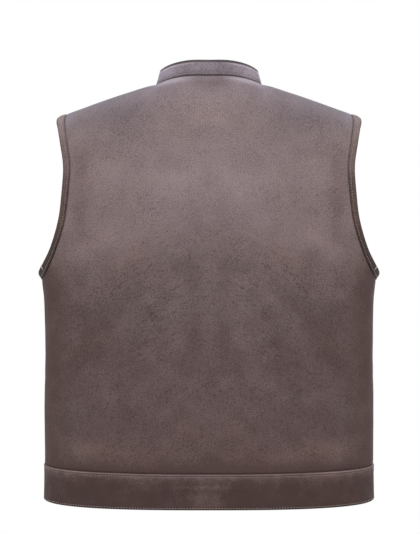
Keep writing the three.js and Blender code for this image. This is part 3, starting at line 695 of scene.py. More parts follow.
def leather(name, pale, deep, pebble, depth):
    """Pebbled, rubbed leather, whose tones hold painted light and shade. pebble is how many pebbles go to a
    metre.
    """
    material, tree, skin, position = new_material(name)
    tones = {
        key.capitalize(): node(tree, "ShaderNodeAttribute", attribute_name=key).outputs["Fac"]
        for key in ("light", "cool", "warm", "seam", "worn")
    }
    pebbles = apply_effect(tree, grain, {"Position": position, "Pebble": pebble})
    creases = apply_effect(tree, creasing, {"Position": position, "Worn": tones.pop("Worn")})
    tones.update(Position=position, Valley=pebbles["Valley"], Line=creases["Line"], Pale=pale, Deep=deep)
    rubbed_and_shaded = apply_effect(tree, rubbing_and_shading, tones)
    height = calc(tree, "ADD", pebbles["Height"], calc(tree, "MULTIPLY", creases["Height"], 0.6))
    connect(skin, {
        "Base Color": rubbed_and_shaded["Color"],
        "Roughness": rubbed_and_shaded["Roughness"],
        "Normal": bump(tree, height, 0.7, depth),
        "Specular IOR Level": 0.42,
    })
    return material


def flesh_side(name):
    """The inner face of the hide: brushed, matt and fibrous."""
    material, tree, skin, position = new_material(name)
    fibre = noise(tree, position, 900.0, 4.0, 0.8)["Fac"]
    drift = noise(tree, position, 24.0, 4.0)["Fac"]
    tint = blend(tree, span(tree, drift, 0.3, 0.7), srgb(78, 62, 56), srgb(98, 80, 72))
    connect(skin, {
        "Base Color": blend(tree, span(tree, fibre, 0.35, 0.7, 0.0, 0.5), tint, srgb(62, 48, 43)),
        "Normal": bump(tree, fibre, 0.4, 0.0006),
        "Roughness": 0.92,
        "Specular IOR Level": 0.2,
        "Sheen Weight": 0.15,
        "Sheen Roughness": 0.5,
    })
    return material


def finish(piece, materials, slot, replaced, **cut):
    """Gives a sheet its materials for the outside and the inside and its body, and hides the part it
    replaces. slot and cut are not used.
    """
    for material in materials:
        piece.data.materials.append(material)
    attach(piece, "vest")
    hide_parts(replaced)


body_leather = leather("body_leather", srgb(182, 162, 164), srgb(70, 48, 46), 880.0, 0.0008)
body_faces = (body_leather, flesh_side("flesh_side"))
finish(
    back_piece, body_faces, "leather_body", "back_panel",
    flat=(0.62, 0.62), area=0.316, held="hung", rests_on=["front_leather_right", "front_leather_left"],
)

# Front panels
# Two mirrored pieces of the same hide, sewn to the back at the sides and shoulders. Each has its
# straight edge turned in along the zip.
front_right, right_points, right_normals, right_lift = panel("front_leather_right", FRONT)
front_left, left_points, left_normals, left_lift = panel("front_leather_left", FRONT, mirror=True)
for side, piece in (("right", front_right), ("left", front_left)):
    finish(
        piece, body_faces, "leather_body", f"front_panel_{side}",
        flat=(0.32, 0.58), area=0.153, held="hung", rests_on=["back_leather"],
    )

# Hem bands
# Three strips of the same hide folded up at the hem, one across the back and one under each front.
# Each stands a little proud of its panel, with a topstitched welt at its seam and a row at the hem.
PROUD, FOLDED = 0.8, 3.0
BAND_HEIGHT = BAND_TOP_Z - SEAM - HEM_Z
WELT_STITCH, HEM_STITCH = 4.2, 2.6
STITCH_PITCH = 4.1
HALF_TURN = 1.4  # how far from its fold a doubled piece starts to turn in
# Rows from, to and how many: closest at the fold and at the seam
BAND_ROWS = ((0, 8, 29), (8, 42, 18), (42, BAND_HEIGHT, 30))
FOLD_DOWN, FOLD_X = 19, -8  # the middle of the band's long crease, from its seam


def folded_edge(distance):
    """How far a doubled piece has turned in towards its own middle at a distance from its fold."""
    short = np.clip((HALF_TURN - distance) / HALF_TURN, 0, 1)
    return HALF_TURN * (1 - np.sqrt(1 - short * short))


def band_tones(side, points, across, from_end, low, high):
    x = points[..., 0]
    light = 0.08 * lumps(points, 34, 25) + 0.1 * lumps(points, 12, 26) + 0.07 * lumps(points, 5, 30) - 0.06
    light += patches(CLOUDS_AND_SHADING, "light", side, x, points[..., 2])
    # Pale on the welt, between its stitches, and on the fold across the middle: painted highlights where
    # these stand out, partly rubbed pale by wear
    dots = 1 + 0.3 * lumps(points, 12, 27) + 0.4 * np.cos(across * 2 * np.pi / STITCH_PITCH)
    light += (0.7 + 0.3 * smooth((np.abs(x) - 120) / 80)) * ramp(high, 1.0, 1.3)
    light += 0.2 * ramp(high, 5, 2.4) * dots + 0.2 * ramp(high, 8, 7)
    light += 0.2 * ramp(high, FOLD_DOWN, 3) * ramp(x, FOLD_X, 56)
    cool = 0.05 + 0.2 * lumps(points, 45, 28) + 0.3 * ramp(high, 3, 3)
    warm = 0.35 + 0.5 * lumps(points, 40, 29)
    # Dark at its seam and stitches, with painted shade along the underside of the hem's fold
    seam = np.maximum(0.5 * ramp(high, 0, 0.5), 0.9 * ramp(low, 0, 3.2))
    seam += 0.25 * ramp(high, WELT_STITCH - 0.8, 0.9)
    seam = np.maximum(seam, 0.6 * ramp(from_end, 0, 1.2))
    return {"light": light, "cool": cool.clip(0, 1), "warm": warm.clip(0, 1), "seam": seam}


def band(name, face, mirror=False):
    """A hem band: its skin, its grid and normals, its lift, and the height of each row."""
    rows = np.concatenate([np.linspace(*part) for part in BAND_ROWS])
    rows = np.unique([*rows, HEM_STITCH, BAND_HEIGHT - WELT_STITCH])
    share, z = np.meshgrid(hem_share(columns_of(face)), HEM_Z + rows)
    x = mix(face["start"], read(SECTIONS, "half", z), share)
    points = full_width(face, np.stack([x, face_y(face, x, z), z], -1), mirror)
    normals = normals_of(points)
    normals[:, side_columns(face, mirror), 1] = 0
    normals = unit(normals)
    x = points[..., 0]
    low = np.broadcast_to(rows[:, None], x.shape)
    high = BAND_HEIGHT - low
    across = run_length(points, 1)
    from_end = nearer_end(across)
    wave = 1 + 0.35 * lumps(points, 16, 21)
    outer = PROUD + 0.7 * wave * ramp(high, 2.4, 1.7) - 0.55 * ramp(high, WELT_STITCH, 0.7)
    outer += 0.3 * ramp(high, 7.5, 2.6) - 1.4 * ramp(high, 0, 0.6)
    outer += 0.3 * ramp(low, 1.6, 1.0) - 0.5 * ramp(low, HEM_STITCH, 0.6) - folded_edge(low)
    outer += 0.3 * lumps(points, 38, 22) + 0.16 * lumps(points, 15, 23)
    outer += 0.7 * ramp(high, FOLD_DOWN, 3.2) * ramp(x, FOLD_X, 62) * smooth(from_end / 20)
    outer += 0.14 * np.sin(across / 1.6 + 3 * lumps(points, 26, 24)) * ramp(high, 7, 4)
    outer -= 1.2 * ramp(from_end, 0, 1.1)
    inner = PROUD - FOLDED + folded_edge(low) + 0.3 * ramp(from_end, 0, 1.1)
    tones = band_tones(face["side"], points, across, from_end, low, high)
    piece = sheet_wall(name, points, normals, outer, inner, tones, (0, TUCK, TUCK))
    return piece, points, normals, outer, rows


band_leather = leather("band_leather", srgb(162, 139, 138), srgb(60, 37, 33), 880.0, 0.0008)
bands = {
    "back": band("hem_band_back_leather", BACK),
    "right": band("hem_band_right_leather", FRONT),
    "left": band("hem_band_left_leather", FRONT, mirror=True),
}
for side, (piece, *_) in bands.items():
    finish(
        piece, (band_leather, band_leather), "leather_band", f"hem_band_{side}",
        flat=(0.65 if side == "back" else 0.32, 0.051), held="folded",
        rests_on=["back_leather" if side == "back" else f"front_leather_{side}"],
    )

# Collar
# A low stand collar of mauve-brown hide, doubled over at its top edge, which is darker than the rest.
# It is sewn round the neck and topstitched just above that seam. Its front corners are rounded.
COLLAR_HEIGHT, COLLAR_CORNER = 25, 11
LEAN_BACK, LEAN_FRONT = 18, 8
COLLAR_STITCH = 3.2
COLLAR_COLUMNS, COLLAR_ROWS = 261, 46


def neck_point(angle):
    """Points of the neck seam. Angles on the wearer's left are negative."""
    size = np.abs(angle)
    heights = [roll_point(f, NECK_HALF * np.sin(size), neck_turn(f, size))[1] for f in (BACK, FRONT)]
    z = np.where(size < np.pi / 2, *heights)
    return np.stack([NECK_HALF * np.sin(angle), NECK_Y - NECK_DEPTH * np.cos(angle), z], -1)


def square_to(vectors, along):
    return unit(vectors - along * np.sum(vectors * along, -1, keepdims=True))


def collar():
    end = math.pi - math.asin((ZIP_EDGE + 1.5) / NECK_HALF)
    angle = mix(-end, end, crowded(COLLAR_COLUMNS, 0.8, 0.8))
    along = unit(neck_point(angle + 0.01) - neck_point(angle - 0.01))
    lift = square_to(np.stack([-np.sin(angle), np.cos(angle), np.ones_like(angle)], -1), along)
    seat = neck_point(angle) + lift * SEAM * 1.6
    forward = ((1 - np.cos(angle)) / 2) ** 2
    lean = np.radians(mix(LEAN_BACK, LEAN_FRONT, forward))
    upward = np.stack([-np.sin(angle) * np.sin(lean), np.cos(angle) * np.sin(lean), np.cos(lean)], -1)
    upward = square_to(upward, along)
    from_ends = [np.linalg.norm(seat - end_point, axis=-1) for end_point in (seat[0], seat[-1])]
    short = np.clip(COLLAR_CORNER - np.minimum(*from_ends), 0, COLLAR_CORNER)
    height = COLLAR_HEIGHT - COLLAR_CORNER + np.sqrt(COLLAR_CORNER**2 - short**2)
    rise = crowded(COLLAR_ROWS, 0.75, 0.8)[:, None] * height
    points = seat + rise[..., None] * upward
    normals = normals_of(points)
    across = run_length(points, 1)
    from_end = nearer_end(across)
    fold = np.minimum(height - rise, from_end)
    wave = lumps(points, 22, 31)
    outer = -0.9 * ramp(rise, 0, 0.9) + 0.4 * ramp(rise, 1.7, 1.0) - 0.5 * ramp(rise, COLLAR_STITCH, 0.6)
    outer += (0.35 * wave + 0.2 * lumps(points, 9, 32)) * smooth(fold / 6) * smooth(rise / 6)
    outer += 0.12 * np.sin(across / 1.5 + 3 * wave) * ramp(rise, 6, 4)
    outer = outer - folded_edge(fold)
    inner = -FOLDED + folded_edge(fold)
    x = np.abs(points[..., 0])
    from_fold = height - rise
    # A painted highlight grows towards the collar's ends
    light = 0.22 + 0.06 * wave + 0.04 * lumps(points, 8, 33) + 0.36 * smooth((x - 30) / 36)
    # Dark at its seam, with painted shadow over its lowest few millimetres, and dark along its top fold
    seam = 0.5 * ramp(rise, 0, 1.1) + 0.4 * ramp(rise, 2, 5.5)
    seam = np.maximum(seam, 1 - smooth((from_fold - 3.8) / 1.1))
    tones = clipped({
        # Painted highlight just under the dark top edge, near its ends
        "light": light + 0.36 * ramp(from_fold, 5.8, 1.5) * smooth((x - 16) / 24),
        "cool": 0.6 + 0.3 * lumps(points, 26, 34),
        "warm": 0.1 * np.ones_like(x),
        "seam": np.maximum(seam, 0.5 * ramp(from_end, 0, 1.4)),
    })
    piece = sheet_wall("collar_leather", points, normals, outer, inner, tones, (4 * TUCK, 0, 0))
    return piece, points, normals, outer, rise


collar_leather = leather("collar_hide", srgb(238, 220, 232), srgb(92, 76, 79), 920.0, 0.0007)
collar_piece, collar_points, collar_normals, collar_lift, collar_rise = collar()
finish(
    collar_piece, (collar_leather, collar_leather), "leather_collar", "collar",
    flat=(0.45, 0.026), held="folded", rests_on=["back_leather"],
)

# Armhole bindings
# A narrow strip of the same hide round each armhole, folded over the panels' raw edge and sewn
# through. It is joined across on the back, and its end laps over itself just above the underarm.
BINDING = table(
    "across out",
    (0.3, -2.3),
    (0.3, -0.8),
    (0.7, 0.15),
    (1.4, 0.75),
    (2.3, 0.92),
    (3.0, 0.66),
    (3.5, 0.4),
    (4.0, 0.66),
    (4.8, 0.98),
    (6.4, 1.12),
    (8.3, 1.1),
    (10.0, 0.85),
    (11.4, 0.3),
    (12.2, -0.4),
    (12.6, -1.1),
    (12.3, -1.8),
    (11.4, -2.4),
    (9.9, -2.75),
    (7.0, -2.85),
    (3.6, -2.8),
    (1.2, -2.85),
    (-1.6, -2.9),
    (-1.6, -2.4),
)
BINDING_STATIONS = 380
BINDING_STITCH, BINDING_MIDDLE, BINDING_EDGE = 6, 9, 15  # rows of the table
BINDING_GROOVE, BINDING_RIM = 3.5, 12.6  # how far across it the stitches and its edge lie
FLARE_OUT, FLARE_REACH = 0.45, 26
JOIN_Z, LAP_Z = -160, -276
# Painted light and shade along the binding by height: pale at the shoulders, darkest towards the underarm
BINDING_SHADE = table(
    "z light", (-230, 0), (-200, 0.1), (-140, 0.3), (-90, 0.46), (-62, 0.66), (-40, 0.9), (-30, 1)
)


def around(loop, count):
    """A closed loop's rows, respaced evenly by the length of its first three columns."""
    closed = np.concatenate([loop, loop[:1]])
    lengths = run_length(closed[None, :, :3], 1)[0]
    wanted = np.linspace(0, lengths[-1], count, endpoint=False)
    return np.stack([np.interp(wanted, lengths, column) for column in closed.T], -1)


def armhole_loop(count):
    """The points and outward normals round the right armhole's edge."""
    first = TRUNK_ROWS - 1
    up = np.concatenate([back_points[first:, -1], back_normals[first:, -1]], -1)
    down = np.concatenate([right_points[first:, 0], right_normals[first:, 0]], -1)[::-1]
    low, high = (up[0] + down[-1]) / 2, (up[-1] + down[0]) / 2
    return around(np.concatenate([[low], up[1:-1], [high], down[1:-1]]), count)


def binding(name, mirror):
    loop = armhole_loop(BINDING_STATIONS)
    point, normal = loop[:, :3], unit(loop[:, 3:])
    along = unit(np.roll(point, -1, 0) - np.roll(point, 1, 0))
    across = unit(np.cross(along, normal))
    into_hole = point.mean(0) - point
    across = across * np.sign(np.sum(across * into_hole, -1, keepdims=True))
    low = ramp(point[:, 2:], UNDERARM_Z, FLARE_REACH)
    lean = unit(across + normal * FLARE_OUT * low)
    upright = unit(np.cross(along, lean))
    upright = upright * np.sign(np.sum(upright * normal, -1, keepdims=True))
    z = point[:, 2:]
    behind = (normal[:, 1:2] < 0) & (np.arange(len(point))[:, None] < len(point) / 2)
    reach, out = BINDING["across"][None, :], BINDING["out"][None, :]
    face = smooth((out + 0.9) / 1.2)
    below_lap = behind * smooth((LAP_Z - z) / 0.7)
    join = behind * ramp(z, JOIN_Z, 0.8)
    puff = 0.22 * lumps(point[:, None, :] + reach[..., None] * 0.4, 9, 41)
    puff = puff + 0.2 * lumps(point[:, None, :], 31, 42) * smooth((reach - 4) / 4)
    out = out + face * (puff - 0.45 * join - 0.5 * below_lap)
    sections = point[:, None] + lean[:, None] * reach[..., None] + upright[:, None] * out[..., None]
    height = sections[..., 2]
    shade = np.interp(height, BINDING_SHADE["z"], BINDING_SHADE["light"])
    grain_drift = 0.12 * lumps(sections, 21, 43) + 0.07 * lumps(sections, 8, 44)
    # Dark at its seam and rim, with painted shade below its lapped end and low round the underarm
    seam = np.maximum(0.25 * ramp(reach, 0.3, 0.6) + 0.35 * ramp(reach, BINDING_RIM, 2), 0.5 * join)
    seam = seam + 0.4 * below_lap + 0.15 * ramp(reach, BINDING_GROOVE, 0.7)
    tones = clipped({
        "light": shade + grain_drift - 0.16 * ramp(reach, 12.2, 2.2) + 0.06 * ramp(reach, 8, 2),
        "cool": smooth((height + 110) / 70) * 0.6 + 0.2 * lumps(sections, 30, 45),
        "warm": smooth((-150 - height) / 90) * 1.3 + 0.25 + 0.2 * lumps(sections, 24, 46),
        "seam": seam + 0.28 * smooth((-205 - height) / 26) + 0.35 * ramp(height, -248, 13),
    })
    if mirror:
        sections = sections[::-1] * [-1, 1, 1]
        tones = {key: values[::-1] for key, values in tones.items()}
    index = np.arange(sections[..., 0].size).reshape(sections.shape[:2])
    ahead, above = np.roll(index, -1, 0), np.roll(index, -1, 1)
    quads = np.stack([index, above, np.roll(ahead, -1, 1), ahead], -1).reshape(-1, 4)
    return new_piece(name, sections, quads, tones), sections


binding_leather = leather("binding_hide", srgb(188, 166, 165), srgb(62, 41, 36), 920.0, 0.0007)
bindings = {}
for side, mirror in (("right", False), ("left", True)):
    piece, sections = binding(f"armhole_binding_{side}_leather", mirror)
    finish(
        piece, (binding_leather, binding_leather), "leather_binding", f"armhole_binding_{side}",
        flat=(0.66, 0.0155), held="folded", rests_on=["back_leather", f"front_leather_{side}"],
    )
    bindings[side] = sections

# Bindings' lap highlights
# A short pale rod across each binding, just above the underarm, is a painted highlight where it turns under
# the arm.
LAP_LINE = (0.55, 0.45)  # its half width and half height
lap_highlight, tree, skin, position = new_material("lap_highlight")
fibre = span(tree, noise(tree, position, 1500.0, 3.0)["Fac"], 0.35, 0.65)
connect(skin, {
    "Base Color": blend(tree, fibre, srgb(206, 180, 172), srgb(240, 222, 214)), "Roughness": 0.85
})


def ring_faces(rings, sides):
    """The faces of a closed rod whose points go round in rings."""
    index = np.arange(rings * sides).reshape(rings, sides)
    beside = np.roll(index, -1, 1)
    quads = np.stack([index[:-1], index[1:], beside[1:], beside[:-1]], -1).reshape(-1, 4)
    return [*quads.tolist(), index[0].tolist(), index[-1, ::-1].tolist()]


def rod(path, out, half_wide, half_high, sides=8):
    """A closed rod along a path, wide across the surface it lies on and low above it."""
    along = unit(np.gradient(path, axis=0))
    up = square_to(out, along)
    aside = np.cross(along, up)
    turn = np.linspace(0, 2 * np.pi, sides, endpoint=False)[:, None]
    taper = np.ones(len(path))
    taper[[0, -1]] = 0.35
    across = aside[:, None] * np.cos(turn) * half_wide + up[:, None] * np.sin(turn) * half_high
    return path[:, None] + across * taper[:, None, None], ring_faces(len(path), sides)


def join_parts(name, parts, material):
    """One object from several closed parts, each given as points and faces."""
    points, faces, start = [], [], 0
    for part, polygons in parts:
        points.append(part.reshape(-1, 3))
        faces += [[start + k for k in polygon] for polygon in polygons]
        start += len(points[-1])
    piece = new_piece(name, np.concatenate(points), faces, {})
    piece.data.materials.append(material)
    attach(piece, "vest")
    return piece


for side, sections in bindings.items():
    behind = np.where(sections[:, BINDING_MIDDLE, 1] < np.median(sections[:, BINDING_MIDDLE, 1]), 0, 1e6)
    station = np.argmin(np.abs(sections[:, BINDING_MIDDLE, 2] - LAP_Z) + behind)
    path = sections[station, BINDING_MIDDLE - 1 : BINDING_EDGE + 1]
    out = path - sections[station, BINDING_EDGE:].mean(0)
    join_parts(f"binding_lap_highlight_{side}", [rod(path + 0.1 * unit(out), out, *LAP_LINE)], lap_highlight)

# Topstitching
# Taupe polyester thread, about 0.7 mm thick, in lockstitches 4 mm long along the hem bands, the
# collar, the bindings and the zip.
STITCH_LENGTH, THREAD_RADIUS, THREAD_SIDES = 2.5, 0.38, 6
STITCH = table(
    "along lift thick",
    (-0.5, -0.42, 0.55),
    (-0.38, -0.04, 0.95),
    (-0.16, 0.14, 1),
    (0.16, 0.14, 1),
    (0.38, -0.04, 0.95),
    (0.5, -0.42, 0.55),
)


def stitch_row(path, out):
    """Stitches along a path on the leather. Both ends of each one go down into their holes."""
    lengths = run_length(path[None], 1)[0]
    count = int(lengths[-1] // STITCH_PITCH)
    middle = (np.arange(count) + 0.5) * lengths[-1] / count
    at = middle[:, None] + STITCH["along"] * STITCH_LENGTH
    centre = np.stack([np.interp(at, lengths, path[:, k]) for k in range(3)], -1)
    up = unit(np.stack([np.interp(at, lengths, out[:, k]) for k in range(3)], -1))
    along = unit(centre[:, -1] - centre[:, 0])[:, None]
    up = square_to(up, along)
    aside = np.cross(along, up)
    slant = 0.14 * STITCH["along"][:, None]
    centre = centre + up * STITCH["lift"][:, None] + aside * slant
    turn = np.linspace(0, 2 * np.pi, THREAD_SIDES, endpoint=False)[:, None]
    thick = THREAD_RADIUS * STITCH["thick"][:, None, None]
    points = centre[:, :, None] + thick * (aside[:, :, None] * np.cos(turn) + up[:, :, None] * np.sin(turn))
    one = ring_faces(len(STITCH["along"]), THREAD_SIDES)
    starts = np.arange(count) * len(STITCH["along"]) * THREAD_SIDES
    return points, [[start + k for k in face] for start in starts.tolist() for face in one]


def lifted(points, normals, lift):
    return points + normals * lift[..., None]


thread, tree, skin, position = new_material("thread")
values = {"Vector": position, "Scale": 420.0, "Distortion": 2.0}
twist = node(tree, "ShaderNodeTexWave", values, bands_direction="DIAGONAL").outputs["Fac"]
connect(skin, {
    "Base Color": blend(tree, twist, srgb(158, 138, 132), srgb(198, 180, 172)),
    "Normal": bump(tree, twist, 0.5, 0.0002),
    "Roughness": 0.6,
})

stitching = {}
for side, (_, points, normals, lift, low) in bands.items():
    face = lifted(points, normals, lift)
    picked = [np.argmin(np.abs(low - at)) for at in (HEM_STITCH, BAND_HEIGHT - WELT_STITCH)]
    stitching[f"thread_hem_{side}"] = [stitch_row(face[k, 2:-2], normals[k, 2:-2]) for k in picked]
face = lifted(collar_points, collar_normals, collar_lift)
near = np.argmin(np.abs(collar_rise[:, COLLAR_COLUMNS // 2] - COLLAR_STITCH))
stitching["thread_collar"] = [stitch_row(face[near, 4:-4], collar_normals[near, 4:-4])]
for side, sections in bindings.items():
    middle = sections[:, BINDING_MIDDLE]
    out = np.cross(np.roll(middle, -1, 0) - np.roll(middle, 1, 0), middle - sections[:, 4])
    out = out * (1 if side == "left" else -1)
    stitching[f"thread_binding_{side}"] = [stitch_row(sections[:, BINDING_STITCH], unit(out))]
for side, points, normals, lift, edge in (
    ("right", right_points, right_normals, right_lift, -1),
    ("left", left_points, left_normals, left_lift, 0),
):
    across = run_length(points, 1)[TRUNK_ROWS + 12]
    near = np.argmin(np.abs(np.abs(across - across[edge]) - ZIP_STITCH))
    face = lifted(points, normals, lift)
    stitching[f"thread_zip_{side}"] = [stitch_row(face[2:-3, near], normals[2:-3, near])]
for name, parts in stitching.items():
    join_parts(name, parts, thread)

# Zip
# A closed metal jacket zip: two dark woven tapes behind the fronts' edges, brass teeth clamped on
# their cords, a box at the foot, two top stops, and a slider with a pull.
TAPE_OUT, TAPE_THICK = -2.5, 0.8
TEETH_OUT, TOOTH_PITCH = -1.15, 2.7
SLIDER_FROM_TOP, SLIDER_LENGTH = 13, 13
FIRST_TOOTH, LAST_TOOTH = 12, 4  # from the hem, and from the zip's top
OPEN_PITCH = TOOTH_PITCH * 0.75
OPENING = 0.12  # how much wider the open teeth part with each millimetre
TAPE_END = 2
TAPE_ACROSS = np.array([0.25, 1.4, 2.6, 3.6, 4.6, 6, 8.5, 11.5, 14, 15])

weave, given, gives = effect(
    "tape_weave", {"Position": "Vector", "Count": "Float"}, {"Height": "Float", "Fleck": "Float"}
)
axes = node(weave, "ShaderNodeSeparateXYZ", {0: given["Position"]}).outputs
from_middle = calc(weave, "ABSOLUTE", axes["X"])
slanted = calc(weave, "ADD", axes["Z"], calc(weave, "MULTIPLY", from_middle, 0.7))
ribs = calc(weave, "SINE", calc(weave, "MULTIPLY", slanted, given["Count"]))
crossing = calc(weave, "SINE", calc(weave, "MULTIPLY", axes["X"], given["Count"]))
cloth = calc(weave, "ADD", ribs, calc(weave, "MULTIPLY", crossing, 0.6))
connect(gives, {"Height": cloth, "Fleck": noise(weave, given["Position"], 1400.0, 2.0)["Fac"]})

tape_cloth, tree, skin, position = new_material("tape_cloth")
woven = apply_effect(tree, weave, {"Position": position, "Count": 5200.0})
tint = blend(tree, span(tree, woven["Height"], -1.6, 1.6), srgb(28, 22, 21), srgb(58, 46, 42))
connect(skin, {
    "Base Color": blend(tree, span(tree, woven["Fleck"], 0.4, 0.8, 0.0, 0.4), tint, srgb(84, 70, 64)),
    "Normal": bump(tree, woven["Height"], 0.6, 0.0003),
    "Roughness": 0.85,
    "Specular IOR Level": 0.25,
})

tarnish, given, gives = effect(
    "tarnish",
    {"Position": "Vector", "Bright": "Color", "Dull": "Color"},
    {"Color": "Color", "Roughness": "Float"},
)
spots = span(tarnish, noise(tarnish, given["Position"], 420.0, 4.0, 0.65)["Fac"], 0.38, 0.66)
rough = calc(tarnish, "ADD", calc(tarnish, "MULTIPLY", spots, 0.25), 0.28)
connect(gives, {"Color": blend(tarnish, spots, given["Bright"], given["Dull"]), "Roughness": rough})

old_brass, tree, skin, position = new_material("old_brass")
colours = {"Position": position, "Bright": srgb(176, 148, 104), "Dull": srgb(104, 84, 58)}
stained = apply_effect(tree, tarnish, colours)
connect(skin, {
    "Base Color": stained["Color"],
    "Roughness": stained["Roughness"],
    "Normal": bump(tree, noise(tree, position, 2600.0, 2.0)["Fac"], 0.15, 0.0001),
    "Metallic": 1.0,
})


def zip_line():
    """The fronts' edge from hem to neck, moved to the centre line, and its outward directions."""
    _, low_points, low_normals, *_ = bands["right"]
    points = np.concatenate([low_points[:-1, -1], right_points[:, -1]])
    normals = np.concatenate([low_normals[:-1, -1], right_normals[:, -1]])
    points[:, 0] = 0
    normals[:, 0] = 0
    return points, unit(normals)


zip_points, zip_out = zip_line()
zip_length = run_length(zip_points[None], 1)[0]


def on_zip(distance):
    """The point and outward direction of the zip's line at a distance from the hem."""
    return [
        np.stack([np.interp(distance, zip_length, track[:, k]) for k in range(3)], -1)
        for track in (zip_points, zip_out)
    ]


def tape(name, mirror):
    distance = np.linspace(TAPE_END, zip_length[-1] - TAPE_END, 200)
    middle, out = on_zip(distance)
    wide = TAPE_ACROSS
    grid = np.concatenate([bands["right"][1][:-1], right_points])
    y = np.stack([np.interp(wide, row[::-1, 0], row[::-1, 1]) for row in grid])
    y = np.stack([np.interp(distance, zip_length, column) for column in y.T], -1)
    slope = np.gradient(y, axis=1) / np.gradient(wide)
    points = np.stack([wide + 0 * y, y, middle[:, 2:] + 0 * y], -1)
    normals = out[:, None] + np.stack([-slope, 0 * y, 0 * y], -1)
    normals = unit(np.where(wide[:, None] > ZIP_EDGE, normals, out[:, None]))
    points, normals = points[:, ::-1], normals[:, ::-1]
    if mirror:
        points, normals = points[:, ::-1] * [-1, 1, 1], normals[:, ::-1] * [-1, 1, 1]
    flat = np.ones(points.shape[:2])
    return sheet_wall(name, points, normals, flat * TAPE_OUT, flat * (TAPE_OUT - TAPE_THICK), {})


for side, mirror in (("right", False), ("left", True)):
    finish(
        tape(f"zip_tape_{side}_cloth", mirror), (tape_cloth, tape_cloth), "zip_tape", f"zip_tape_{side}",
        flat=(0.015, 0.6), held="hung", rests_on=[f"front_leather_{side}"],
    )

TOOTH = table(
    "x y",
    (-0.9, -0.45),
    (-0.5, -0.75),
    (1.0, -0.75),
    (1.4, -0.95),
    (2.9, -0.85),
    (3.3, -0.4),
    (3.3, 0.4),
    (2.9, 0.85),
    (1.4, 0.95),
    (1.0, 0.75),
    (-0.5, 0.75),
    (-0.9, 0.45),
)
TOOTH_LEVELS = ((-0.62, 0.82), (-0.45, 1), (0.45, 1), (0.62, 0.82))


def teeth(distances, side, apart):
    """Brass teeth on one tape: each reaches past the middle, between two of the other tape's."""
    parts = []
    place, out = on_zip(distances)
    up = unit(on_zip(distances + 0.5)[0] - on_zip(distances - 0.5)[0])
    faces = ring_faces(len(TOOTH_LEVELS), len(TOOTH["x"]))
    if side > 0:
        faces = [face[::-1] for face in faces]
    for point, outward, upward, gap in zip(place, out, up, np.broadcast_to(apart, len(distances))):
        rings = []
        for height, size in TOOTH_LEVELS:
            x = side * ((TOOTH["x"] - 1.2) * size + 1.2 + gap)
            y = TOOTH["y"] * size + TEETH_OUT
            rings.append(point + np.outer(x, [1, 0, 0]) + np.outer(y, outward) + height * upward)
        parts.append((np.array(rings), faces))
    return parts


slider_at = zip_length[-1] - SLIDER_FROM_TOP
closed = np.arange(FIRST_TOOTH, slider_at - SLIDER_LENGTH / 2 + 1, TOOTH_PITCH)
opened = np.arange(slider_at + SLIDER_LENGTH / 2, zip_length[-1] - LAST_TOOTH, OPEN_PITCH)
spread = (opened - slider_at) * OPENING
parts = teeth(closed, 1, 0) + teeth(closed + TOOTH_PITCH / 2, -1, 0)
parts += teeth(opened, 1, spread) + teeth(opened, -1, spread)


BLOCK_EDGE, BLOCK_END = 0.5, 0.86  # how far its edges go in, and its ends' size to the middle's
BLOCK = table("x y", (-1, -0.6), (-0.8, -1), (0.8, -1), (1, -0.6), (1, 0.6), (0.8, 1), (-0.8, 1), (-1, 0.6))


def block(distance, x, y, half):
    """A small block with its edges taken off, across the zip: x and y are its middle and half size."""
    place, out = on_zip(np.array([distance - 0.5, distance, distance + 0.5]))
    up = unit(place[2] - place[0])
    rings = []
    full = half - BLOCK_EDGE
    for height, size in ((-half, BLOCK_END), (-full, 1), (full, 1), (half, BLOCK_END)):
        aside = np.outer(x[0] + BLOCK["x"] * size * x[1], [1, 0, 0])
        rings.append(place[1] + aside + np.outer(y[0] + BLOCK["y"] * size * y[1], out[1]) + height * up)
    return np.array(rings), [face[::-1] for face in ring_faces(len(rings), len(BLOCK["x"]))]


# The box at the foot, and a stop at the top of each tape
parts.append(block(distance=6.5, x=(0, 4.6), y=(-1.1, 1.5), half=4.2))
for side in (-1, 1):
    parts.append(block(distance=zip_length[-1] - 2.8, x=(side * 3.6, 1.5), y=(TEETH_OUT, 1.1), half=1.2))
chain = join_parts("zip_teeth", parts, old_brass)
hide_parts("zip_chain")

# Slider and pull
# Both are cast brass with soft edges: the pull hangs by its bar in the slider's crown.
CAST_EDGE = 0.35 * MM
for name in ("zip_slider", "zip_pull"):
    piece = bpy.data.objects[name]
    piece.data.materials.clear()
    piece.data.materials.append(old_brass)
    rounding = piece.modifiers.new("soft_edges", "BEVEL")
    rounding.width = CAST_EDGE
    rounding.segments = 2
    rounding.limit_method = "ANGLE"
    rounding.angle_limit = math.radians(32)

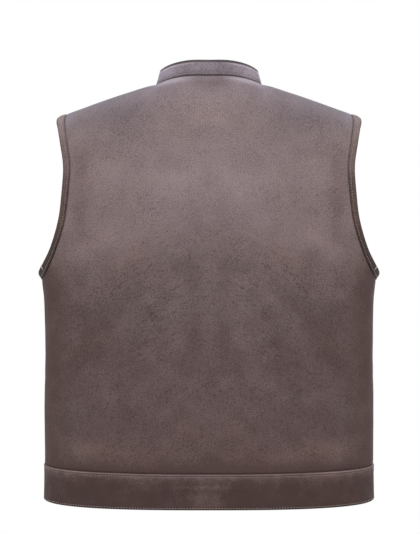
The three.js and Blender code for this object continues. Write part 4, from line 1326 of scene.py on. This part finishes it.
# Floor and light
# A pale studio floor well below the hem, clear from underneath, and soft light from above, from
# both sides and from the front.
floor = bpy.data.objects.new("studio_floor", bpy.data.meshes.new("studio_floor"))
FLOOR_Z = -0.86
corners = [(-1, -1, FLOOR_Z), (1, -1, FLOOR_Z), (1, 0.9, FLOOR_Z), (-1, 0.9, FLOOR_Z)]
floor.data.from_pydata(corners, [], [(0, 1, 2, 3)])
bpy.context.collection.objects.link(floor)
pale, tree, paint, _ = new_material("pale_floor")
connect(paint, {"Base Color": (0.93, 0.93, 0.93, 1), "Roughness": 0.9})
floor.data.materials.append(pale)
under = node(tree, "ShaderNodeNewGeometry").outputs["Backfacing"]
clear = node(tree, "ShaderNodeBsdfTransparent").outputs[0]
seen_floor = node(tree, "ShaderNodeMixShader", {0: under, 1: paint.outputs[0], 2: clear}).outputs[0]
connect(tree.nodes["Material Output"], {"Surface": seen_floor})

world = bpy.data.worlds.new("studio")
bpy.context.scene.world = world
world.use_nodes = True
sky = world.node_tree
glow = connect(sky.nodes["Background"], {"Color": (1, 1, 1, 1), "Strength": 0.55}).outputs[0]
seen = node(sky, "ShaderNodeBackground", {"Color": (1, 1, 1, 1), "Strength": 1.0}).outputs[0]
direct = node(sky, "ShaderNodeLightPath").outputs["Is Camera Ray"]
choice = node(sky, "ShaderNodeMixShader", {0: direct, 1: glow, 2: seen}).outputs[0]
connect(sky.nodes["World Output"], {"Surface": choice})
bpy.context.scene.view_settings.view_transform = "Standard"

LIGHT_AIM = (0, 0, -0.3)


def soft_light(name, place, size, watts):
    lamp = bpy.data.objects.new(name, bpy.data.lights.new(name, "AREA"))
    lamp.data.shape = "DISK"
    lamp.data.size = size
    lamp.data.energy = watts
    lamp.location = place
    x, y, z = np.array(place) - np.array(LIGHT_AIM)
    lamp.rotation_euler = (math.atan2(math.hypot(x, y), z), 0, math.atan2(x, -y))
    bpy.context.collection.objects.link(lamp)


soft_light("top_light", (0, -0.7, 1.9), 1.6, 22)
soft_light("back_left_light", (-1.7, -1.9, 0.5), 1.4, 16)
soft_light("back_right_light", (1.7, -1.9, 0.5), 1.4, 16)
soft_light("front_light", (0.4, 2.4, -0.2), 1.8, 24)
